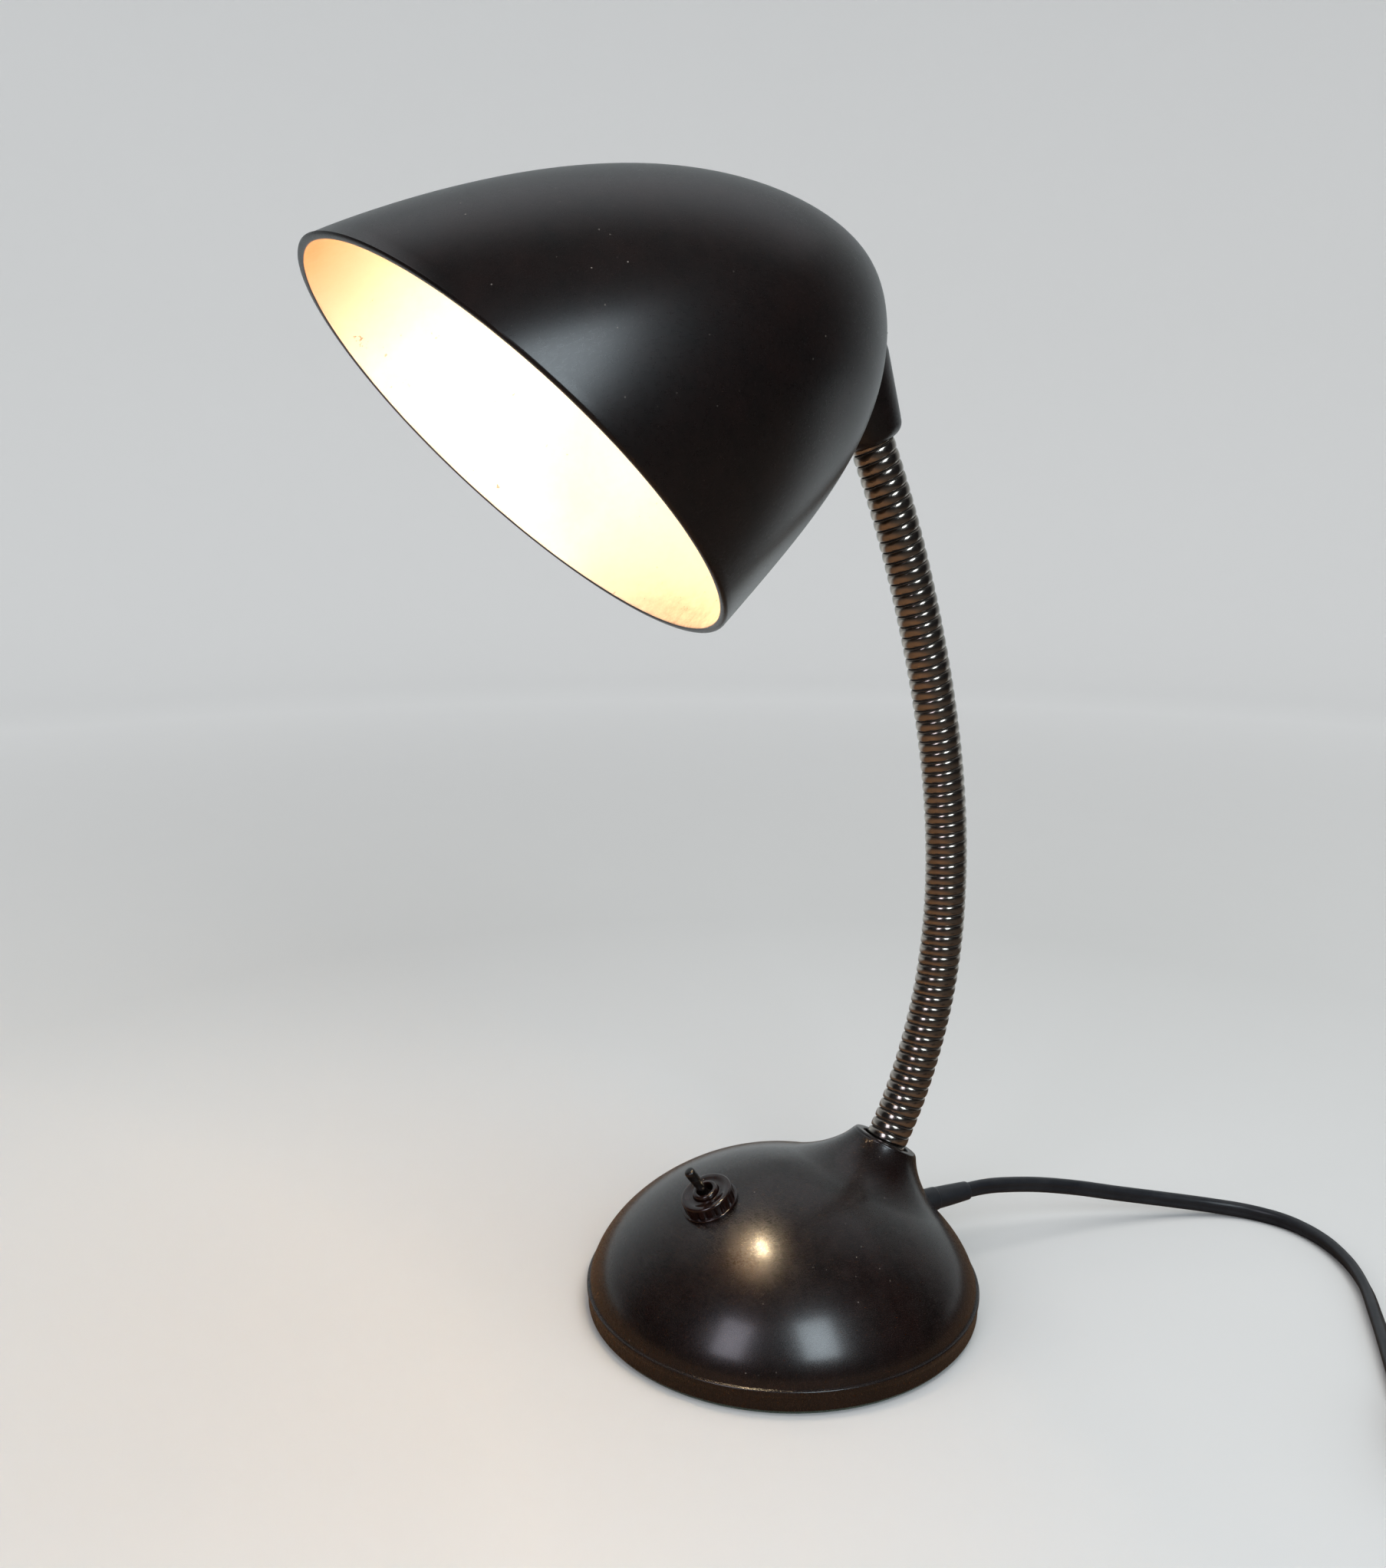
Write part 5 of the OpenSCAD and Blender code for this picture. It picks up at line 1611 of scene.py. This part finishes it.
@dataclass
class HelmetShade:
    """Moulded helmet shade with its neck socket, painted cream inside."""

    neck_end: Placement
    rim_r: float = 85.7
    depth: float = 123.3
    crown_back: float = 45.2
    wall: float = 2.8
    tilt: float = 44.0
    entry: tuple[float, float] = (92.0, 95.0)
    front_powers: tuple[float, float] = (1.05, 2.35)
    rear_powers: tuple[float, float] = (3.95, 1.2)
    side_powers: tuple[float, float] = (2.4, 2.5)
    socket_r: float = 12.3
    socket_wide_r: float = 15.6
    socket_corner: float = 4.6
    socket_bore_r: float = 8.3
    socket_depth: float = 14.0
    fillet: float = 4.0
    around: int = 160
    rows: int = 130

    def __post_init__(self) -> None:
        """Works out the shade's axes from the neck's end."""
        c, s = math.cos(math.radians(self.tilt)), math.sin(math.radians(self.tilt))
        y, z = self.entry
        end = self.neck_end.origin
        self.at = Placement((0.0, end[1] - (y * c + z * s), end[2] - (-y * s + z * c)), (1.0, 0.0, 0.0),
                            (0.0, c, -s), (0.0, s, c))

    def reach(self, t: Points, r: float) -> tuple[Points, Points, Points]:
        """How far a section parallel to the opening reaches.

        Args:
            t: Its height as a share of the depth.
            r: Radius of the opening.

        Returns:
            Half width, middle and half length of the section.
        """
        t = np.clip(t, 0, 1)
        to_front, to_rear, to_side = ((1 - t ** rise) ** (1 / turn) for rise, turn in
                                      (self.front_powers, self.rear_powers, self.side_powers))
        front = (r + self.crown_back) * to_front - self.crown_back
        rear = (r - self.crown_back) * to_rear + self.crown_back
        return r * to_side, (rear - front) / 2, (rear + front) / 2

    def _helmet(self, points: Points) -> Points:
        """Field of the helmet, in the shade's axes."""
        t = points[..., 2] / self.depth
        side, middle, half = self.reach(t, self.rim_r)
        x = points[..., 0] / np.maximum(side, 1e-3)
        y = (points[..., 1] - middle) / np.maximum(half, 1e-3)
        value = np.sqrt(x ** 2 + y ** 2) - 1
        return np.where(t < 0.99999, value * np.minimum(side, half) / 60.0, 1.0 + t)

    def _socket(self, points: Points) -> Points:
        """Field of the neck socket, in the shade's axes: a collar that widens, with a round nose."""
        local = self.neck_end.local(self.at.place(points))
        w = local[..., 2]
        rho = np.hypot(local[..., 0], local[..., 1])
        slope = (self.socket_wide_r - self.socket_r) / 24
        collar = (rho - self.socket_r - (w - 4) * slope) * 0.986
        nose = (np.sqrt((rho / self.socket_wide_r) ** 2 + ((w - 28) / 30) ** 2) - 1) * self.socket_wide_r
        return np.where(w < 28, collar, nose)

    def ring(self, t: float, r: float, z: float, grow: float = 0.0) -> Points:
        """A section of the helmet as points.

        Args:
            t: Height as a share of the depth.
            r: Radius of the opening.
            z: Height of the points.
            grow: How far the ring is moved out.

        Returns:
            The ring, in the shade's axes.
        """
        a = 2 * math.pi * np.arange(self.around) / self.around
        side, middle, half = self.reach(np.array(t), r)
        return np.stack([(side + grow) * np.cos(a), middle + (half + grow) * np.sin(a), np.full(self.around, z)],
                        axis=1)

    def make_shell(self, outside: bpy.types.Material, inside: bpy.types.Material) -> bpy.types.Object:
        """Makes the whole moulding: socket, helmet, rim and painted hollow.

        Args:
            outside: The moulding's material.
            inside: The paint's material.

        Returns:
            The shade.
        """
        bore = [(self.socket_bore_r - 0.4, self.socket_depth), (self.socket_bore_r, self.socket_depth - 0.4),
                (self.socket_bore_r, 5.0), (self.socket_bore_r, 0.7)]
        bore += corner(self.socket_bore_r + 0.4, 0.4, 0.4, 180, 270)
        flat = self.socket_r - self.socket_corner
        bore += [((self.socket_bore_r + flat) / 2 + 0.3, 0.0)]
        bore += corner(flat, self.socket_corner, self.socket_corner, -90, -8, 8)
        flip = np.array([1.0, -1.0, 1.0])
        socket = self.at.local(self.neck_end.place(turned(bore, self.around) * flip))
        mouth = self.at.local(self.neck_end.place(circle(self.socket_r, self.socket_corner, self.around) * flip))
        low = 1.1
        rim = self.ring(low / self.depth, self.rim_r, low)
        skin = SkinBetween(RoundedUnion(true_distance(self._helmet), self._socket, self.fillet),
                           (0.0, 30.0, 100.0), (0.0, -30.0, -100.0), self.rows).rings(mouth, rim)
        edge = [self.ring(0.0, self.rim_r, 1.1 - 1.1 * math.sin(a), -1.1 + 1.1 * math.cos(a))
                for a in (0.35, 0.75, 1.15, 1.5708)]
        edge += [self.ring(0.0, self.rim_r, 0.9 - 0.9 * math.sin(a), -self.wall + 0.9 - 0.9 * math.cos(a))
                 for a in (1.5708, 1.1, 0.7, 0.3, 0.0)]
        inner_r, inner_depth = self.rim_r - self.wall, self.depth - self.wall
        heights = [math.sin(math.pi / 2 * k / 60) for k in range(1, 60)]
        hollow = [self.ring(t, inner_r, inner_depth * t) for t in heights if inner_depth * t > 1.2]
        rings = np.concatenate([socket, skin, np.array(edge), np.array(hollow)])
        bands = len(rings) - 1
        kinds = [0] * (bands - len(hollow) - 2) + [1] * (len(hollow) + 2)
        maker = MeshMaker()
        maker.tube(self.at.place(rings), kinds=kinds)
        shell = maker.build("shade_moulding", 42)
        shell.data.materials.append(outside)
        shell.data.materials.append(inside)
        return rode(shell, Body.SHADE, Slot.BAKELITE, "shade")

    def make_pillars(self, finish: bpy.types.Material) -> bpy.types.Object:
        """Makes the two moulded pillars that the lamp holder is screwed to.

        Args:
            finish: Their paint.

        Returns:
            The pillars.
        """
        maker = MeshMaker()
        for x in (-9.0, 9.0):
            profile = [(3.2, 104.0), (3.7, 104.2), (4.0, 104.8), (4.0, 108.0), (4.4, 114.0), (5.6, 119.0)]
            rings = turned(profile, 32) + np.array([x, 32.0, 0.0])
            maker.tube(self.at.place(rings))
        pillars = maker.build("shade_holder_pillars", 50)
        pillars.data.materials.append(finish)
        return rode(pillars, Body.SHADE, Slot.BAKELITE)


# ---- Lamp holder and bulb ---------------------------------------------------------------------------


@dataclass
class HolderAndBulb:
    """Screw lamp holder with its lit opal bulb, on an axis square to the opening."""

    shade: Placement
    axis_y: float = 32.0
    back: float = 104.0
    length: float = 34.0
    outer_r: float = 20.0
    contact_z: float = 97.0
    bulb_l: float = 70.0
    bulb_r: float = 22.5
    cap_r: float = 13.0
    cap_l: float = 24.0

    def __post_init__(self) -> None:
        """Puts the axes on the holder's axis."""
        self.at = Placement(tuple(self.shade.place(np.array([0.0, self.axis_y, 0.0]))), self.shade.x,
                            self.shade.y, self.shade.z)

    def make_holder(self, finish: bpy.types.Material) -> bpy.types.Object:
        """Makes the holder, with grip ribs round its skirt.

        Args:
            finish: Its material.

        Returns:
            The holder.
        """
        mouth, outer = self.back - self.length, self.outer_r

        def grip(a: Points, radius: float, z: float) -> Points:
            """Shallow flutes on the wide part only."""
            fluted = mouth + 22.5 < z < self.back - 3.5 and radius > outer - 1
            return radius - (0.35 * (0.5 + 0.5 * np.cos(48 * a)) if fluted else 0.0)

        profile = [(13.9, self.back - 5.5), (13.9, mouth + 0.6)] + corner(14.5, mouth + 0.6, 0.6, 180, 270)
        profile += [(outer - 3.4, mouth)] + corner(outer - 3.2, mouth + 1.0, 1.0, -90, 0)
        profile += [(outer - 2.2, mouth + 6), (outer - 2.2, mouth + 12), (outer - 2.2, mouth + 18)]
        profile += [(outer - 1.2, mouth + 19.8), (outer - 0.1, mouth + 20.8), (outer, mouth + 22),
                    (outer, mouth + 22.8), (outer, mouth + 27), (outer, self.back - 3.8), (outer, self.back - 3.2),
                    (outer, self.back - 2), (outer - 0.5, self.back - 0.8), (outer - 1.5, self.back),
                    (outer - 6, self.back)]
        maker = MeshMaker()
        maker.tube(self.at.place(turned(profile, 192, grip)))
        holder = maker.build("lamp_holder_moulding", 35)
        holder.data.materials.append(finish)
        return rode(holder, Body.SHADE, Slot.HOLDER, "lamp_holder")

    def make_glass(self, finish: bpy.types.Material) -> bpy.types.Object:
        """Makes the bulb's glass as a thin closed shell.

        Args:
            finish: Its material.

        Returns:
            The glass.
        """
        foot = self.contact_z - self.cap_l

        def outline(inset: float) -> list:
            """Ball and neck, drawn in by the glass's thickness."""
            ball, neck = self.bulb_r - inset, self.cap_r - 0.7 - inset
            middle = self.contact_z - self.bulb_l + self.bulb_r
            meet = math.pi - math.asin(min(neck * 1.3 / ball, 0.99))
            made = [(max(ball * math.sin(a), 0.02), middle - ball * math.cos(a)) for a in np.linspace(0.02, meet, 30)]
            top_r, top_z = made[-1]
            for s in np.linspace(0.2, 1.0, 8):
                made.append((top_r + (neck - top_r) * (1 - (1 - s) ** 2), top_z + (foot - top_z) * s))
            return made

        profile = outline(0.0) + list(reversed(outline(0.8)))
        maker = MeshMaker()
        maker.tube(self.at.place(turned(profile, 64)))
        glass = maker.build("bulb_glass_opal", 50)
        glass.data.materials.append(finish)
        return rode(glass, Body.SHADE, Slot.BULB_GLASS, "bulb_glass")

    def make_cap(self, finish: bpy.types.Material) -> bpy.types.Object:
        """Makes the bulb's cap with its rolled thread.

        Args:
            finish: Its material.

        Returns:
            The cap.
        """
        foot = self.contact_z - self.cap_l
        profile = [(11.8, foot - 0.2), (12.5, foot), (12.9, foot + 0.6), (12.9, foot + 3.0)]
        z = foot + 3.4
        while z < foot + 18.6:
            wave = 0.5 - 0.5 * math.cos(2 * math.pi * (z - foot - 3.4) / 3.62)
            profile.append((12.1 + 0.85 * wave, z))
            z += 0.45
        profile += [(12.0, foot + 19.0), (8.5, foot + 21.2), (5.6, foot + 21.8), (4.6, foot + 22.2),
                    (4.4, foot + 23.4), (3.0, foot + 23.95), (1.0, foot + 24.0)]
        maker = MeshMaker()
        maker.tube(self.at.place(turned(profile, 64)))
        cap = maker.build("bulb_screw_cap", 50)
        cap.data.materials.append(finish)
        return rode(cap, Body.SHADE, Slot.BULB_CAP, "bulb_cap")

    def light_at(self) -> Points:
        """Middle of the bulb's ball, in the lamp's frame."""
        return self.at.place(np.array([0.0, 0.0, self.contact_z - self.bulb_l + self.bulb_r]))


# ---- Switch -----------------------------------------------------------------------------------------


@dataclass
class ToggleSwitch:
    """Toggle switch of the base: bush, knurled ring nut and lever."""

    base: Base
    distance: float = 33.0
    turn: float = 7.0
    nut_r: float = 10.7
    bush_r: float = 4.8
    seat_z: float = -0.55
    scallops: int = 18
    bush_top: float = 6.5
    pivot_z: float = 2.5
    lever_l: float = 15.2
    lever_lean: float = 10.0

    def __post_init__(self) -> None:
        """Works out the axes square to the dome."""
        b = self.base
        slope = math.atan(float(b.height(self.distance - 0.5) - b.height(self.distance + 0.5)))
        t = math.radians(self.turn)
        ct, st, cs, ss = math.cos(t), math.sin(t), math.cos(slope), math.sin(slope)
        self.at = Placement((st * self.distance, -ct * self.distance, float(b.height(self.distance))),
                            (ct, st, 0.0), (-st * cs, ct * cs, ss), (st * ss, -ct * ss, cs))

    def make_nut(self, finish: bpy.types.Material) -> bpy.types.Object:
        """Makes the ring nut: a flange, a scalloped grip band and a dished top.

        Args:
            finish: Its material.

        Returns:
            The nut.
        """
        r, z = self.nut_r, self.seat_z
        band = r - 0.95

        def knurl(a: Points, radius: float, height: float) -> Points:
            """Round-bottomed scallops across the grip band."""
            if not z + 1.25 < height < z + 4.9 or radius < band - 0.3:
                return np.full(len(a), radius)
            return radius - 0.5 * np.maximum(np.cos(self.scallops * a), 0) ** 1.5

        bore = self.bush_r + 0.12
        profile = [(bore, z), (r - 1.0, z)] + corner(r - 0.35, z + 0.35, 0.35, -90, 0)
        profile += corner(r - 0.4, z + 0.8, 0.4, 0, 85) + [(band + 0.25, z + 1.22), (band, z + 1.26)]
        profile += [(band, z + 1.3), (band, z + 2.2), (band, z + 3.1), (band, z + 4.0), (band, z + 4.85)]
        profile += corner(band - 0.85, z + 4.9, 0.85, 0, 88, 7)
        profile += [(band - 1.6, z + 5.72), (band - 2.3, z + 5.55), (band - 2.9, z + 5.3), (band - 3.6, z + 5.2),
                    (band - 4.2, z + 5.2), (bore + 0.2, z + 5.3), (bore, z + 5.1)]
        rings = turned(profile, 216, knurl)
        maker = MeshMaker()
        maker.tube(self.at.place(np.concatenate([rings, rings[:1]])), start=False, end=False)
        nut = maker.build("switch_ring_nut_knurled", 38)
        nut.data.materials.append(finish)
        return rode(nut, Body.BASE, Slot.RING_NUT, "switch_ring_nut")

    def make_bush(self, finish: bpy.types.Material) -> bpy.types.Object:
        """Makes the threaded bush that the lever comes out of.

        Args:
            finish: Its material.

        Returns:
            The bush.
        """
        top, inner = self.bush_top, 3.2
        profile = [(inner, -2.6), (self.bush_r, -2.6), (self.bush_r, 2.0)]
        for i in range(6):
            z = 2.2 + 0.32 * i
            profile += [(self.bush_r, z), (self.bush_r - 0.16, z + 0.16)]
        profile += [(self.bush_r, 4.6)] + corner(self.bush_r - 0.9, top - 0.9, 0.9, 0, 90, 6)
        profile += corner(inner + 0.35, top - 0.35, 0.35, 90, 180) + [(inner, 3.0)]
        rings = turned(profile, 72)
        maker = MeshMaker()
        maker.tube(self.at.place(np.concatenate([rings, rings[:1]])), start=False, end=False)
        bush = maker.build("switch_bush_collar", 35)
        bush.data.materials.append(finish)
        return rode(bush, Body.BASE, Slot.RING_NUT, "switch_bush")

    def make_lever(self, finish: bpy.types.Material) -> bpy.types.Object:
        """Makes the lever: a ball, a waist and a stem that widens to a blunt tip.

        Args:
            finish: Its material.

        Returns:
            The lever.
        """
        a = math.radians(self.lever_lean)
        lean = Placement((0.0, 0.0, self.pivot_z), (1.0, 0.0, 0.0), (0.0, math.cos(a), math.sin(a)),
                         (0.0, -math.sin(a), math.cos(a)))
        l = self.lever_l
        ball = [(2.9 * math.sin(p), -2.9 * math.cos(p), 1.0) for p in np.linspace(0.15, 2.45, 16)]
        stem = [(1.62, 3.2, 1.0), (1.6, 4.5, 1.0), (1.66, 6.0, 1.0), (1.8, 8.0, 0.98), (2.0, 10.0, 0.96),
                (2.12, 11.8, 0.95), (2.16, 13.4, 0.95), (2.12, 14.2, 0.95), (1.96, 14.7, 0.95), (1.65, 15.0, 0.95),
                (1.0, l - 0.04, 0.95), (0.3, l, 1.0)]
        rings = []
        for radius, z, flat in ball + stem:
            ring = circle(radius, z, 40)
            ring[:, 1] *= flat
            rings.append(ring)
        maker = MeshMaker()
        maker.tube(self.at.place(lean.place(np.array(rings))))
        lever = maker.build("switch_lever_dolly", 45)
        lever.data.materials.append(finish)
        return rode(lever, Body.LEVER, Slot.DOLLY, "switch_dolly")


# ---- CAD nodes that are shown as they are -------------------------------------------------------------


@dataclass(frozen=True)
class CarriedNodes:
    """CAD nodes whose shape is right, given their finish and softened edges."""

    edge: float = 0.22
    segments: int = 2
    sharp_angle: float = 35.0
    merge_within: float = 1e-6

    def dress(self, nodes: dict, finish: bpy.types.Material, *names: str) -> None:
        """Gives nodes a finish and small rounded edges.

        Args:
            nodes: The frame's nodes by name.
            finish: The material.
            names: Which nodes.
        """
        for name in names:
            node = nodes[name]
            if node.data.materials:
                for i in range(len(node.data.materials)):
                    node.data.materials[i] = finish
            else:
                node.data.materials.append(finish)
            weld = node.modifiers.new("weld", "WELD")
            weld.merge_threshold = self.merge_within
            bevel = node.modifiers.new("soft_edges", "BEVEL")
            bevel.width, bevel.segments, bevel.limit_method = self.edge * MM, self.segments, "ANGLE"
            bevel.angle_limit = math.radians(self.sharp_angle)
            bevel.harden_normals = False
            LOG.info("node %s keeps its shape", name)


def main() -> None:
    """Builds the lamp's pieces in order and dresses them."""
    logging.basicConfig(level=logging.INFO, format="%(name)s: %(message)s")
    nodes = frame["nodes"]
    studio = Studio()
    studio.make_camera()
    base = Base()
    neck = Neck(base.spout())
    shade = HelmetShade(neck.end())
    finishes = Finishes(shade)
    Lead().build(finishes)
    base.make_shell(finishes.bakelite)
    neck.build(finishes.hose)
    shade.make_shell(finishes.bakelite_shade, finishes.paint)
    shade.make_pillars(finishes.paint)
    bulb = HolderAndBulb(shade.at)
    bulb.make_holder(finishes.holder)
    bulb.make_glass(finishes.glass)
    bulb.make_cap(finishes.cap)
    switch = ToggleSwitch(base)
    switch.make_nut(finishes.ring_nut)
    switch.make_bush(finishes.ring_nut)
    switch.make_lever(finishes.dolly)
    carried = CarriedNodes()
    carried.dress(nodes, finishes.zinc, "bottom_plate", "plate_screws", "shade_grub_screw", "holder_screws",
                  "terminal_screws", "cord_clamp")
    carried.dress(nodes, finishes.brass, "neck_foot_ferrule", "neck_foot_nut", "neck_tip_ferrule", "holder_thread",
                  "holder_contact", "switch_terminals")
    carried.dress(nodes, finishes.felt, "felt_pad")
    carried.dress(nodes, finishes.iron, "ballast")
    carried.dress(nodes, finishes.holder, "switch_body")
    carried.dress(nodes, finishes.ceramic, "terminal_block")
    carried.dress(nodes, finishes.sheath, "cord_inner")
    carried.dress(nodes, finishes.pins, "plug_pins")
    studio.make_floor(finishes.floor)
    studio.make_lights()
    studio.add_bulb_light(bulb.light_at(), bulb.bulb_r + 1.0)
    studio.set_view()


if __name__ == "__main__":
    main()
